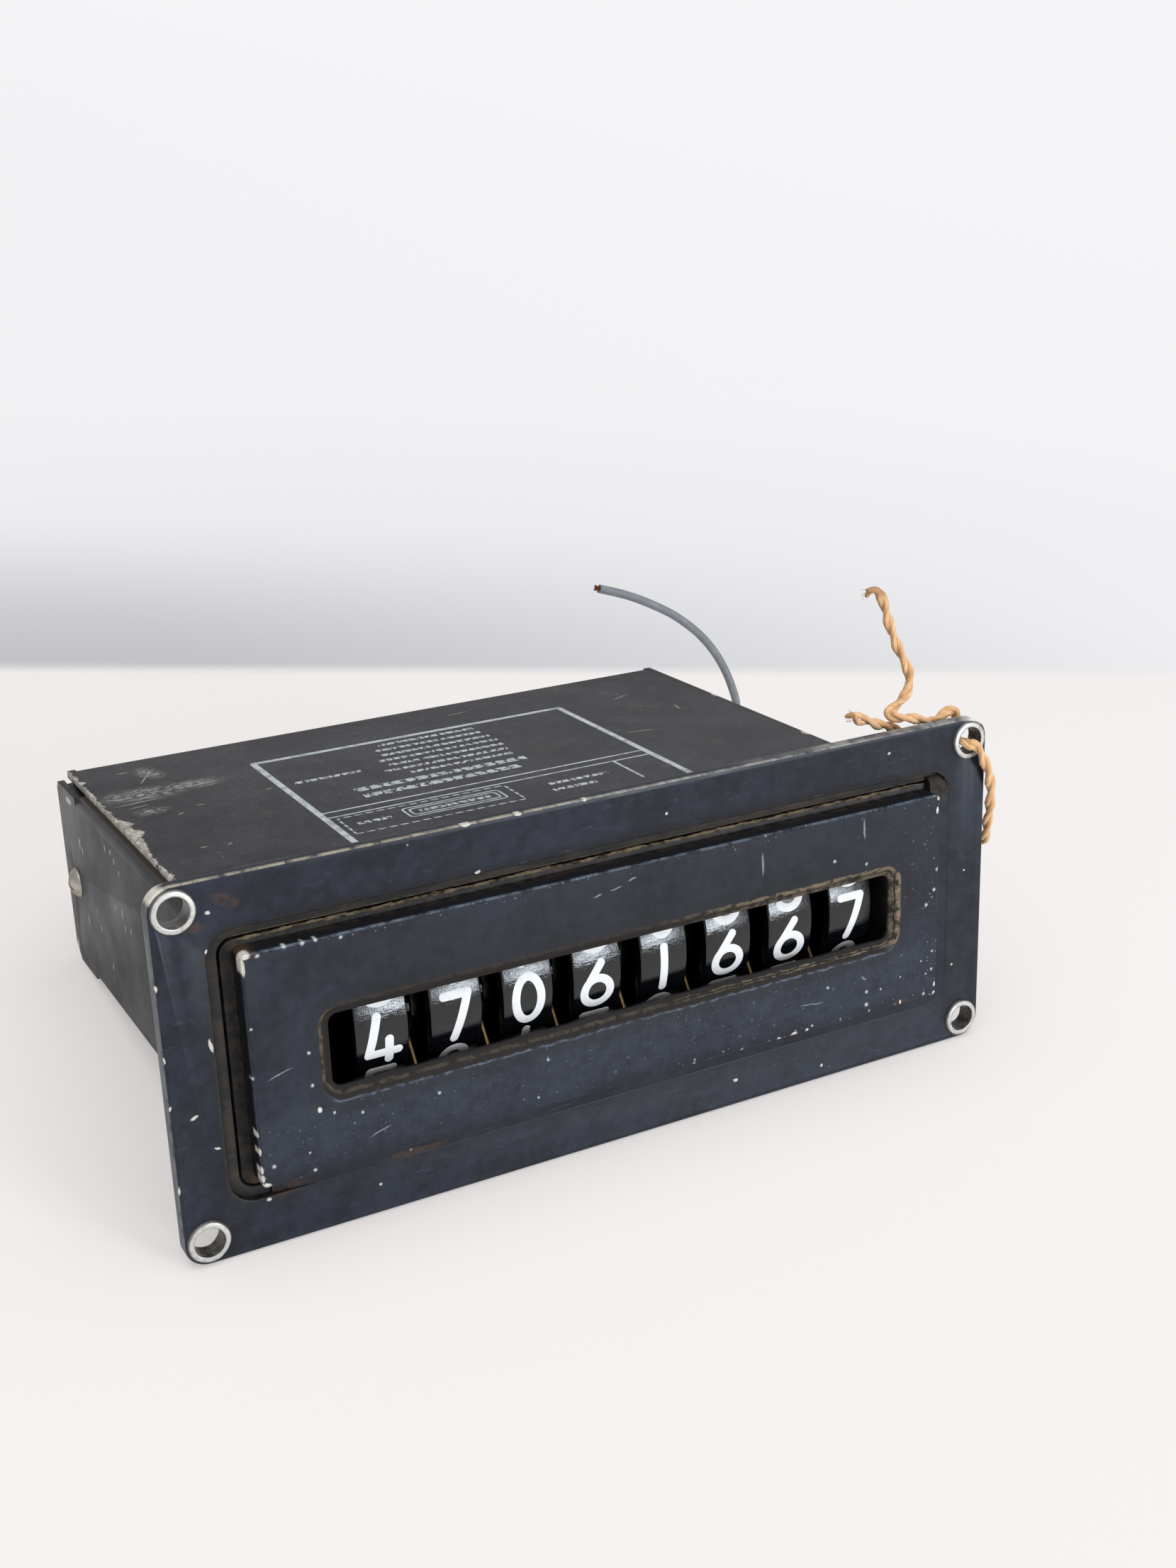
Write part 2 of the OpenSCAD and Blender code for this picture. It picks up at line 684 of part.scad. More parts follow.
module frame_nuts() {
    color([0.6, 0.58, 0.54])
    at_foot_screws() translate([0, 0, frame_t]) difference() {
        rotate(30) cylinder(h = nut_h, r = nut_d / 2 / cos(30), $fn = 6);
        translate([0, 0, -1]) cylinder(h = nut_h + 2, r = screw_d / 2);
    }
}

module wheel_shaft() {
    groove_l = clip_t + 2 * clip_gap;
    color([0.66, 0.66, 0.65])
    difference() {
        bar(shaft_d / 2, left_out - shaft_end, right_out + shaft_end, axis_y, axis_z);
        for (x = [left_out - groove_l, right_out])
            translate([x, axis_y, axis_z]) rotate([0, 90, 0]) difference() {
                cylinder(h = groove_l, r = shaft_d);
                translate([0, 0, -1]) cylinder(h = groove_l + 2, r = shaft_d / 2 - clip_depth);
            }
    }
}

module shaft_clips() {
    color([0.5, 0.49, 0.47])
    for (x = [left_out - clip_t - clip_gap, right_out + clip_gap])
        translate([x, axis_y, axis_z]) rotate([0, 90, 0]) difference() {
            cylinder(h = clip_t, r = shaft_d);
            translate([0, 0, -1]) cylinder(h = clip_t + 2, r = shaft_d / 2 - clip_depth);
            translate([-0.9, 0, -1]) cube([1.8, shaft_d + 1, clip_t + 2]);
        }
}

module pinion_shaft() {
    color([0.66, 0.66, 0.65])
    bar(pinion_shaft_d / 2, left_out - rod_end, right_out + rod_end, pinion_y, pinion_z);
}

module front_rod() {
    color([0.6, 0.5, 0.3])
    bar(rod_d / 2, left_out - rod_end, right_out + rod_end, rod_y, rod_z);
}

module tube_x(r_out, r_in, x0, x1, y, z) {
    difference() {
        bar(r_out, x0, x1, y, z);
        bar(r_in, x0 - 1, x1 + 1, y, z);
    }
}

// Spacers that hold the row of wheels between the bearing plates
module wheel_spacers() {
    r = hub_d / 2 - 0.4;
    color([0.7, 0.56, 0.3]) {
        tube_x(r, shaft_d / 2, left_in, wheel_x(1) - hub_half - 0.1, axis_y, axis_z);
        tube_x(r, shaft_d / 2, wheel_x(WHEELS) + hub_half + 0.1, right_in, axis_y, axis_z);
    }
}

function pinion_start(i) = wheel_x(i) + half_w + 0.1;
function pinion_end(i) = wheel_x(i + 1) - half_w - 0.1;

// Sleeves that keep the transfer pinions in their gaps
module pinion_sleeves() {
    starts = concat([left_in], [for (i = [1:WHEELS - 1]) pinion_end(i) + 0.1]);
    // The last one stops short of the idler, which turns close beside the bare shaft
    ends = concat([for (i = [1:WHEELS - 1]) pinion_start(i) - 0.1], [idler_x - 0.4]);
    color([0.66, 0.66, 0.65])
    for (i = [0:WHEELS - 1])
        tube_x(sleeve_d / 2, pinion_shaft_d / 2, starts[i], ends[i], pinion_y, pinion_z);
}

// Disc on a wheel's left side: two teeth between three round notches, at the angle where the wheel carries
module transfer_outline(angle) {
    tooth = 360 / gear_teeth;
    difference() {
        circle(transfer_r);
        for (k = [-1:1]) rotate(angle + k * tooth) {
            translate([transfer_r - notch_r, 0]) circle(notch_r, $fn = 32);
            translate([transfer_r - notch_r, -notch_r]) square([3, 2 * notch_r]);
        }
    }
}

// Half section of a number wheel: radius, then distance along the axis
module wheel_section() {
    edge = 0.2;
    web_x = half_w - 2.5;
    polygon([[0, -hub_half], [hub_d / 2, -hub_half], [hub_d / 2, web_x], [wheel_r - rim_t, web_x],
             [wheel_r - rim_t, -half_w], [wheel_r - edge, -half_w], [wheel_r, -half_w + edge],
             [wheel_r, half_w - edge], [wheel_r - edge, half_w], [hub_d / 2, half_w],
             [hub_d / 2, hub_half], [0, hub_half]]);
}

module number_wheel(i) {
    carry_angle = -transfer_angle + (9.5 - READING[i - 1]) * digit_angle;
    // A gap faces the pinion, and the last wheel's gap the idler straight behind it
    gap_angle = i < WHEELS ? -transfer_angle : 0;
    color([0.07, 0.07, 0.075])
    translate([wheel_x(i), axis_y, axis_z]) difference() {
        union() {
            rotate([0, 90, 0]) rotate_extrude() wheel_section();
            right_from(half_w - eps, gear_t + eps)
                polygon(gear_points(gear_teeth, gear_pitch_r, gear_tip_r, gear_root_r,
                                    gap_angle + 180 / gear_teeth));
            if (i > 1) right_from(-hub_half, gear_t) transfer_outline(carry_angle);
        }
        bar(shaft_d / 2 + run_gap, -hub_half - 1, hub_half + 1, 0, 0);
    }
}

// Pinion in the gap right of wheel i: eight teeth meet that wheel's gear, and four of them
// run on beside the next wheel's transfer disc
module transfer_pinion(i) {
    toward_wheel = 180 - transfer_angle;
    full_l = wheel_gap - gear_t - clear - 0.1;
    length = pinion_end(i) - pinion_start(i);
    color([0.72, 0.56, 0.28])
    translate([pinion_start(i), pinion_y, pinion_z]) difference() {
        union() {
            right_from(0, full_l)
                polygon(gear_points(pinion_teeth, pinion_pitch_r, pinion_tip_r, pinion_root_r, toward_wheel));
            right_from(0, length) intersection() {
                polygon(gear_points(pinion_teeth, pinion_pitch_r, pinion_tip_r, pinion_root_r, toward_wheel));
                union() {
                    circle(pinion_root_r + 0.05);
                    for (k = [1:2:pinion_teeth]) rotate(toward_wheel + k * 360 / pinion_teeth)
                        translate([0, -pinion_root_r / 2]) square([pinion_tip_r + 1, pinion_root_r]);
                }
            }
        }
        bar(pinion_shaft_d / 2 + run_gap, -1, length + 1, 0, 0);
    }
}

// Thin plate in the gap right of wheel i, hung on the wheel shaft and the front rod
module carrier_plate(i) {
    hub = [axis_y, axis_z];
    foot = [rod_y, rod_z];
    hub_r = hub_d / 2 + 1.8;
    foot_r = rod_d / 2 + 1.1;
    color([0.72, 0.56, 0.28])
    translate([wheel_x(i) + (wheel_pitch - carrier_t) / 2, 0, 0]) difference() {
        union() {
            right_from(0, carrier_t) translate(hub) circle(hub_r);
            right_from(0, carrier_t) translate(foot) circle(foot_r);
            right_from(0, carrier_t) polygon(belt(hub, hub_r - 0.1, foot, foot_r - 0.1));
        }
        bar(shaft_d / 2, -1, carrier_t + 1, axis_y, axis_z);
        bar(rod_d / 2, -1, carrier_t + 1, rod_y, rod_z);
    }
}

idler_x = wheel_x(WHEELS) + half_w + clear;

module idler_stud() {
    head_t = 0.8;
    color([0.66, 0.66, 0.65]) {
        bar(shaft_d / 2, idler_x - 0.2, right_out + rod_end, idler_y, axis_z);
        bar(shaft_d / 2 + 1, idler_x - 0.2 - head_t, idler_x - 0.2, idler_y, axis_z);
    }
}

module idler_gear() {
    color([0.72, 0.56, 0.28])
    translate([idler_x, idler_y, axis_z]) difference() {
        union() {
            right_from(0, gear_t)
                polygon(gear_points(gear_teeth, gear_pitch_r, gear_tip_r, gear_root_r, 0));
            bar(shaft_d / 2 + 1.4, 0, right_in - idler_x - 0.1, 0, 0);
        }
        bar(shaft_d / 2 + run_gap, -1, 8, 0, 0);
        for (a = [45:90:359]) rotate([a, 0, 0]) bar(1.5, -1, gear_t + 1, 5.8, 0);
    }
}

module motor() {
    plate_x = motor_front - ear_plate_t;
    color([0.5, 0.5, 0.48])
    difference() {
        union() {
            bar(motor_d / 2, can_start + 1, plate_x - gearcase_l, motor_y, axis_z);
            bar(motor_d / 2 - 0.8, can_start, plate_x, motor_y, axis_z);
            right_from(plate_x, ear_plate_t) translate([motor_y, axis_z]) {
                circle(motor_d / 2 - 0.1);
                translate([0, -post_spread - 2.6])
                    square([post_y - motor_y + post_d / 2 + 1, 2 * post_spread + 5.2]);
            }
            bar(boss_d / 2, motor_front - eps, motor_front + boss_l, motor_y, axis_z);
        }
        bar(motor_shaft_d / 2 + run_gap, motor_front - 5, motor_front + 5, motor_y, axis_z);
        for (s = [-1, 1]) bar(small_screw_d / 2, plate_x - 1, motor_front + 1, post_y, axis_z + s * post_spread);
    }
}

module motor_posts() {
    color([0.66, 0.66, 0.65])
    for (s = [-1, 1])
        tube_x(post_d / 2, small_screw_d / 2, motor_front, right_in, post_y, axis_z + s * post_spread);
}

// Two screws into each pair of post ends, one from the motor's ears and one from the bearing plate
module motor_screws() {
    bite = 1.8;
    color([0.55, 0.53, 0.5])
    for (s = [-1, 1]) {
        z = axis_z + s * post_spread;
        plate_x = motor_front - ear_plate_t;
        bar(small_head_d / 2, plate_x - small_head_h, plate_x, post_y, z);
        bar(small_screw_d / 2, plate_x - eps, motor_front + bite, post_y, z);
        bar(small_screw_d / 2, right_in - bite, right_out + eps, post_y, z);
        bar(small_head_d / 2, right_out, right_out + small_head_h, post_y, z);
    }
}

module motor_shaft() {
    color([0.66, 0.66, 0.65])
    bar(motor_shaft_d / 2, motor_front - 4.5, right_out + rod_end, motor_y, axis_z);
}

module motor_pinion() {
    color([0.72, 0.56, 0.28])
    translate([0, motor_y, axis_z]) difference() {
        right_from(motor_front + boss_l + 0.2, right_in - motor_front - boss_l - 0.6)
            polygon(gear_points(pinion_teeth, pinion_pitch_r, pinion_tip_r, pinion_root_r, 180 / pinion_teeth));
        bar(motor_shaft_d / 2, motor_front, right_in, 0, 0);
    }
}

in_frame() front_plate();
in_frame() eyelets();
in_frame() bezel();
in_frame() bezel_gasket();
in_frame() chassis_tray();
in_frame() top_cover();
in_frame() side_screws();
in_frame() wire_grommet();
in_frame() lead_wire();
in_frame() tag_twine();
in_frame() left_bearing_plate();
in_frame() right_bearing_plate();
in_frame() frame_screws();
in_frame() frame_nuts();
in_frame() wheel_shaft();
in_frame() pinion_shaft();
in_frame() front_rod();
in_frame() shaft_clips();
in_frame() wheel_spacers();
in_frame() pinion_sleeves();
in_frame() idler_stud();
in_frame() idler_gear();
in_frame() motor();
in_frame() motor_posts();
in_frame() motor_screws();
in_frame() motor_shaft();
in_frame() motor_pinion();
for (i = [1:WHEELS])
    in_frame() number_wheel(i);
for (i = [1:WHEELS - 1])
    in_frame() transfer_pinion(i);
for (i = [1:WHEELS - 1])
    in_frame() carrier_plate(i);
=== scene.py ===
import math
import bpy
import numpy as np
from mathutils import Matrix, Vector


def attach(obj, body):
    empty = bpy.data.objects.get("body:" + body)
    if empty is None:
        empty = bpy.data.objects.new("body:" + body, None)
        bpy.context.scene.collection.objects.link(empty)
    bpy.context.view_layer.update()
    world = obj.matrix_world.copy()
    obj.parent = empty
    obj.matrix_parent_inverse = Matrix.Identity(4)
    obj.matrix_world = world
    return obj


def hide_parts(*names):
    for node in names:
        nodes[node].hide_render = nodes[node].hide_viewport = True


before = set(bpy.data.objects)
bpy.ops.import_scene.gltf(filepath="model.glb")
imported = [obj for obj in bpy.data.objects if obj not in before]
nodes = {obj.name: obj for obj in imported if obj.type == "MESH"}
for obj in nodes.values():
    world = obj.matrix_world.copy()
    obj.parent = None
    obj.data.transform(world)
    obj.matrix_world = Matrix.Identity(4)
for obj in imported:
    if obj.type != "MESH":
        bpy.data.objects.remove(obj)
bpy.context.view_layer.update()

# Everything below is in millimetres: X along the wheels, depth behind the plate's face, height Z
mm = 0.001
faceY = -40.1   # the plate's front face in the row's own frame
axisDepth = 13.3
axisHeight = 25.4


def toRow(points):   # depth behind the face becomes the row's Y, and millimetres become metres
    return (np.asarray(points, float) + [0, faceY, 0]) * mm


# The camera, fitted to the photograph
camera = {
    "place": (-112.86, -245.11, 130.30),
    "right": (0.87635, -0.48044, -0.03459),
    "up": (0.18092, 0.26176, 0.94802),
    "forward": (0.44641, 0.83706, -0.31631),
    "lens": 36 * 2659.3 / 2212,   # the long side of the picture takes the whole sensor
}

eye = bpy.data.objects.new("camera", bpy.data.cameras.new("camera"))
bpy.context.collection.objects.link(eye)
facing = Matrix([camera["right"], camera["up"], [-v for v in camera["forward"]]]).transposed()
eye.matrix_world = Matrix.Translation(Vector(camera["place"]) * mm) @ facing.to_4x4()
eye.data.lens = camera["lens"]
eye.data.sensor_width = 36
eye.data.clip_start, eye.data.clip_end = 0.005, 20
bpy.context.scene.camera = eye
bpy.context.scene.view_settings.view_transform = "Standard"
print("camera placed")


# Meshes made from arrays of points
def makeObject(name, points, faces, material=None, body="case", smooth=True, sharp=None):
    mesh = bpy.data.meshes.new(name)
    mesh.from_pydata(np.asarray(points).tolist(), [], faces)
    mesh.validate()
    if smooth:
        mesh.shade_smooth()
        if sharp:
            mesh.set_sharp_from_angle(angle=math.radians(sharp))
    made = bpy.data.objects.new(name, mesh)
    bpy.context.collection.objects.link(made)
    if material:
        mesh.materials.append(material)
    if body:
        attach(made, body)
    return made


def gridFaces(rows, cols, wrapRows=False, wrapCols=False):   # quads of a grid of points stored row by row
    i, j = np.meshgrid(np.arange(rows - (not wrapRows)), np.arange(cols - (not wrapCols)), indexing="ij")
    i, j = i.ravel(), j.ravel()
    below, beside = (i + 1) % rows, (j + 1) % cols
    return np.stack([i * cols + j, i * cols + beside, below * cols + beside, below * cols + j], 1).tolist()


def caps(rows, cols):   # the two end faces of a tube stored ring by ring
    return [list(range(cols)), [(rows - 1) * cols + k for k in range(cols)][::-1]]


def joinShells(shells):   # several (points, faces) become one
    points, faces, count = [], [], 0
    for p, f in shells:
        p = np.asarray(p, float).reshape(-1, 3)
        points.append(p)
        faces += [[k + count for k in face] for face in f]
        count += len(p)
    return np.concatenate(points), faces


def ringAngles(count):
    return np.linspace(0, 2 * np.pi, count, endpoint=False)


def lathe(profile, steps, centre, axis="x", wobble=None):   # turns (radius, along) points round an axis
    profile = np.asarray(profile, float)
    a = ringAngles(steps)
    radius, along = profile[:, 0][None], np.repeat(profile[:, 1][None], steps, 0)
    if wobble is not None:
        radius = radius + wobble(a[:, None], profile[:, 1][None])
    p, q = radius * np.cos(a)[:, None], radius * np.sin(a)[:, None]
    stack = (along, p, q) if axis == "x" else (q, along, p)
    points = np.stack(stack, -1).reshape(-1, 3) + centre
    return points, gridFaces(steps, len(profile), True, True)


def smoothPath(points, steps):   # a curve through all the points, a cubic between each two
    p = np.asarray(points, float)
    n = len(p) - 1
    i = np.repeat(np.arange(n), steps)
    t = np.tile(np.arange(steps) / steps, n)[:, None]
    a, b, c, d = p[np.maximum(i - 1, 0)], p[i], p[i + 1], p[np.minimum(i + 2, n)]
    q = 0.5 * (2 * b + (c - a) * t + (2 * a - 5 * b + 4 * c - d) * t ** 2 + (3 * b - a - 3 * c + d) * t ** 3)
    return np.concatenate([q, p[-1:]])


def pathLength(p):
    return float(np.linalg.norm(np.diff(p, axis=0), axis=1).sum())


def pathFrames(p):   # heading, side and up at each point, carried along without twist
    heading = np.gradient(p, axis=0)
    heading /= np.linalg.norm(heading, axis=1)[:, None]
    side = np.zeros_like(p)
    last = np.cross(heading[0], [0.1, 0.2, 1.0])
    for k, t in enumerate(heading):
        last = last - (last @ t) * t
        last /= np.linalg.norm(last)
        side[k] = last
    return heading, side, np.cross(heading, side)


def tubeShell(path, radius, sides, twist=0.0, offset=0.0, lobes=0.0):   # a tube that may circle its path
    _, side, up = pathFrames(path)
    n = len(path)
    radius, twist, offset = (np.broadcast_to(v, n)[:, None] for v in (radius, twist, offset))
    centre = path + offset * (np.cos(twist) * side + np.sin(twist) * up)
    a = ringAngles(sides)[None] + twist
    r = (radius * (1 + lobes * np.cos(5 * (a - twist))))[..., None]
    ring = r * (np.cos(a)[..., None] * side[:, None] + np.sin(a)[..., None] * up[:, None])
    return (centre[:, None] + ring).reshape(-1, 3), gridFaces(n, sides, False, True) + caps(n, sides)


# Shader values written as formulas
def feed(socket, value):   # a link, or a number on the socket itself
    if isinstance(value, Sock):
        socket.id_data.links.new(value.link, socket)
    else:
        socket.default_value = value


class Sock:   # a shader socket that takes part in sums, so that a mask is written as a formula
    def __init__(self, tree, link=None):
        self.tree, self.link = tree, link

    def node(self, kind, settings, values, out=0):   # any node: its settings, then what its sockets get
        made = self.tree.nodes.new(kind)
        for name, value in settings.items():
            setattr(made, name, value)
        for name, value in values.items():
            feed(made.inputs[name], value)
        return Sock(self.tree, made.outputs[out])

    def math(self, operation, *parts):
        return self.node("ShaderNodeMath", {"operation": operation}, dict(enumerate(parts)))

    def __add__(self, other): return self.math("ADD", self, other)
    def __radd__(self, other): return self.math("ADD", other, self)
    def __sub__(self, other): return self.math("SUBTRACT", self, other)
    def __rsub__(self, other): return self.math("SUBTRACT", other, self)
    def __mul__(self, other): return self.math("MULTIPLY", self, other)
    def __truediv__(self, other): return self.math("DIVIDE", self, other)
    def __abs__(self): return self.math("ABSOLUTE", self)
    def least(self, other): return self.math("MINIMUM", self, other)
    def most(self, other): return self.math("MAXIMUM", self, other)
    def root(self): return self.math("SQRT", self)
    def part(self): return self.math("FRACT", self)

    def rise(self, low, high):   # 0 below low, 1 above high, smooth between; high may be the smaller one
        ends = {1: low, 2: high, 3: 0.0, 4: 1.0} if low < high else {1: high, 2: low, 3: 1.0, 4: 0.0}
        return self.node("ShaderNodeMapRange", {"interpolation_type": "SMOOTHSTEP"}, {0: self, **ends})


def srgb(colour):   # 0 to 255 as seen on screen, to the linear colour that a socket takes
    c = np.array(colour, float) / 255
    return (*np.where(c <= 0.04045, c / 12.92, ((c + 0.055) / 1.055) ** 2.4), 1.0)


def mix(mask, under, over):   # over lies on under where the mask is 1; a plain colour is 0 to 255
    under, over = (c if isinstance(c, Sock) else srgb(c) for c in (under, over))
    return mask.node("ShaderNodeMix", {"data_type": "RGBA"}, {0: mask, 6: under, 7: over}, out=2)


def blend(mask, low, high):   # number: low where the mask is 0, high where it is 1
    return mask * (high - low) + low


def vector(operation, place, *other, out=0):   # vector maths; a place is scaled by a plain number
    values = {("Scale" if operation == "SCALE" else 1): v for v in other}
    return place.node("ShaderNodeVectorMath", {"operation": operation}, {0: place, **values}, out)


def startMaterial(name):   # a material, its shader, and the place on the object in millimetres
    material = bpy.data.materials.new(name)
    material.use_nodes = True
    tree = material.node_tree
    tree.nodes.clear()
    start = Sock(tree)
    surface = start.node("ShaderNodeBsdfPrincipled", {}, {})
    output = tree.nodes.new("ShaderNodeOutputMaterial")
    feed(output.inputs["Surface"], surface)
    place = start.node("ShaderNodeTexCoord", {}, {}, out="Object")
    place = vector("SUBTRACT", vector("SCALE", place, 1000.0), (0, faceY, 0))
    return material, surface.link.node, place


socketNames = {"colour": "Base Color", "rough": "Roughness", "metal": "Metallic", "normal": "Normal",
               "sheen": "Sheen Weight", "specular": "Specular IOR Level"}


def finishSurface(shader, **values):   # sets the shader's sockets
    for name, value in values.items():
        feed(shader.inputs[socketNames[name]], value)


def makeSkin(name, look, *values):   # a material; look says what its shader's sockets get
    material, shader, place = startMaterial(name)
    finishSurface(shader, **look(place, *values))
    return material


def axes(place):
    return [place.node("ShaderNodeSeparateXYZ", {}, {0: place}, out=k) for k in range(3)]


def mapped(place, stretch, at):
    return place.node("ShaderNodeMapping", {}, {"Vector": place, "Location": at, "Scale": stretch})


def noise(place, scale, detail=2.0, rough=0.5, stretch=(1, 1, 1), at=(0, 0, 0)):
    if stretch != (1, 1, 1) or at != (0, 0, 0):
        place = mapped(place, stretch, at)
    values = {"Vector": place, "Scale": scale, "Detail": detail, "Roughness": rough}
    return place.node("ShaderNodeTexNoise", {}, values)


def flecks(place, scale, size, share, at):   # small round chips at a share of scattered points
    place = mapped(place, (1, 1, 1), at)
    near = place.node("ShaderNodeTexVoronoi", {}, {"Vector": place, "Scale": scale})
    chance = near.node("ShaderNodeSeparateColor", {}, {0: Sock(near.tree, near.link.node.outputs["Color"])})
    return near.rise(size, size * 0.55) * chance.rise(1 - share, 1 - share + 0.02)


def bump(height, strength, depth):   # depth in millimetres
    return height.node("ShaderNodeBump", {}, {"Strength": strength, "Distance": depth * mm, "Height": height})


def framed(u, v, centre, half, corner):   # signed distance to a round-cornered rectangle, below 0 inside it
    du, dv = abs(u - centre[0]) - (half[0] - corner), abs(v - centre[1]) - (half[1] - corner)
    outside = (du.most(0.0) * du.most(0.0) + dv.most(0.0) * dv.most(0.0)).root()
    return outside + du.most(dv).least(0.0) - corner


def ropePlace(start):   # a cord's own coordinates in millimetres: across, across, along
    return start.node("ShaderNodeAttribute", {"attribute_name": "unrolled"}, {}, out="Vector")


def setUnrolled(mesh, values):
    data = mesh.attributes.new("unrolled", "FLOAT_VECTOR", "POINT").data
    data.foreach_set("vector", np.ravel(values).astype(np.float32))


# Cords
lead = {
    "diameter": 1.6,
    # its bare strands: their radius, the radius of their ring and the angle between them
    "strand": 0.15, "ring": 0.3, "sixth": 1.047,
    "colour": (120, 123, 129),
    "dust": (150, 150, 148),
    "copper": (150, 96, 62),
    "route": [
        (44, 81.6, 26), (44, 84, 26), (44.5, 87, 25.8), (46.5, 90, 25), (50, 92.5, 23.5),
        (54.5, 94.5, 21.5), (60, 95.5, 19.6), (66, 96, 18.2), (72, 96, 18), (77, 96, 19.6),
        (80.4, 96, 22.8), (81.4, 96, 26.6), (80.4, 96, 30.4), (78.8, 96, 34.2), (76.4, 96, 38.2),
        (72.8, 96, 42.4), (67.6, 96, 46.6), (62, 96, 49.8), (57, 96, 52.1), (51.5, 96, 54)],
}
twine = {
    "diameter": 1.5,
    "turn": 7.4,   # length of one turn of the two strands
    "strand": 0.46,   # radius of a strand
    "apart": 0.34,   # how far a strand's middle lies from the twine's
    "hairs": 80, "hair": 0.022,   # how many loose fibres, and their radius
    "light": (242, 202, 154),
    "dark": (198, 146, 98),
    "tip": (158, 116, 78),
    "route": [
        (41.2, 4, 53.3), (43.9, 4.1, 52.2), (46.7, 4.5, 51), (49.6, 5.4, 49.8), (52.6, 6.2, 48),
        (56.4, 6.6, 43.6), (60.6, 6.5, 37.4), (63.8, 6, 32.2), (65.6, 4.9, 29.9), (65.9, 3.4, 29.9),
        (65.2, 2, 32.5), (64.4, 0.5, 36.5), (63.5, -0.5, 40.1), (62.1, -1.2, 43.2), (60, -1.4, 46.7),
        (58.8, -0.9, 47.3), (58.5, 0.5, 47.7), (59, 2.2, 47.9), (59.9, 3.6, 48.3), (60.7, 4.4, 49.2),
        (60.8, 4.6, 50.2), (60, 4.5, 50.9), (58.6, 4.3, 50.8), (56.9, 3.9, 50.2), (55.2, 3.7, 50.1),
        (53.4, 3.6, 50.8), (51.6, 3.4, 51.4), (50.3, 3.4, 51.6), (49.3, 3.8, 51.8), (48.9, 4.6, 52),
        (49.3, 5.4, 52.3), (50.3, 5.8, 52.6), (51.5, 5.8, 53.4), (52.9, 5.8, 55.1), (53.3, 6.4, 57.6),
        (51.9, 7.2, 61.2), (50.6, 7.8, 65.2), (49.6, 8, 68.5), (48.3, 8, 69.9), (46.8, 8, 69.7)],
}


def leadSkin(place):
    grime = noise(ropePlace(place), 1.2, 3, 0.6, (1, 1, 0.4))
    return dict(colour=mix(grime.rise(0.45, 0.75) * 0.7, lead["colour"], lead["dust"]),
                rough=blend(grime, 0.42, 0.65), normal=bump(grime, 0.2, 0.05))


def copperSkin(place):
    dull = noise(place, 3.0, 2, 0.6)
    return dict(colour=mix(dull, lead["copper"], (96, 66, 48)), metal=1.0, rough=0.45)


def twineSkin(place):
    along = ropePlace(place)
    fibre = noise(along, 5.0, 3, 0.65, (1, 1, 0.09))
    patch = noise(along, 0.35, 2, 0.5)
    colour = mix(fibre.rise(0.3, 0.7), twine["dark"], twine["light"])
    colour = mix(patch.rise(0.5, 0.8) * 0.35, colour, twine["dark"])
    x, _, z = axes(place)
    tips = (z.rise(68.2, 69.6) * 0.8).most(x.rise(42.6, 41.4) * 0.5)
    colour = mix(tips, colour, twine["tip"])
    return dict(colour=colour, rough=0.82, sheen=0.25, specular=0.25, normal=bump(fibre, 0.55, 0.06))


def makeLead():
    path, radius, sides = smoothPath(lead["route"], 8), lead["diameter"] / 2, 20
    points, faces = tubeShell(path, radius, sides)
    made = makeObject("leadWire", toRow(points), faces, makeSkin("leadSkin", leadSkin), sharp=50)
    angle = np.tile(ringAngles(sides), len(path))
    along = np.repeat(np.linspace(0, pathLength(path), len(path)), sides)
    setUnrolled(made.data, np.stack([radius * np.cos(angle), radius * np.sin(angle), along], 1))
    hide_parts("lead_wire")
    heading, side, up = (v[-1] for v in pathFrames(path))
    strands = []
    for k in range(7):   # one bare strand in the middle and six round it
        angle = k * lead["sixth"]
        out = lead["ring"] * (k > 0) * (math.cos(angle) * side + math.sin(angle) * up)
        core = np.array([path[-1] - 0.6 * heading + out, path[-1] + 0.2 * heading + out,
                         path[-1] + (0.8 + 0.1 * (k % 3)) * heading + 1.35 * out])
        strands.append(tubeShell(smoothPath(core, 3), lead["strand"], 8))
    points, faces = joinShells(strands)
    bare = makeObject("leadStrands", toRow(points), faces, makeSkin("copperSkin", copperSkin), sharp=50)


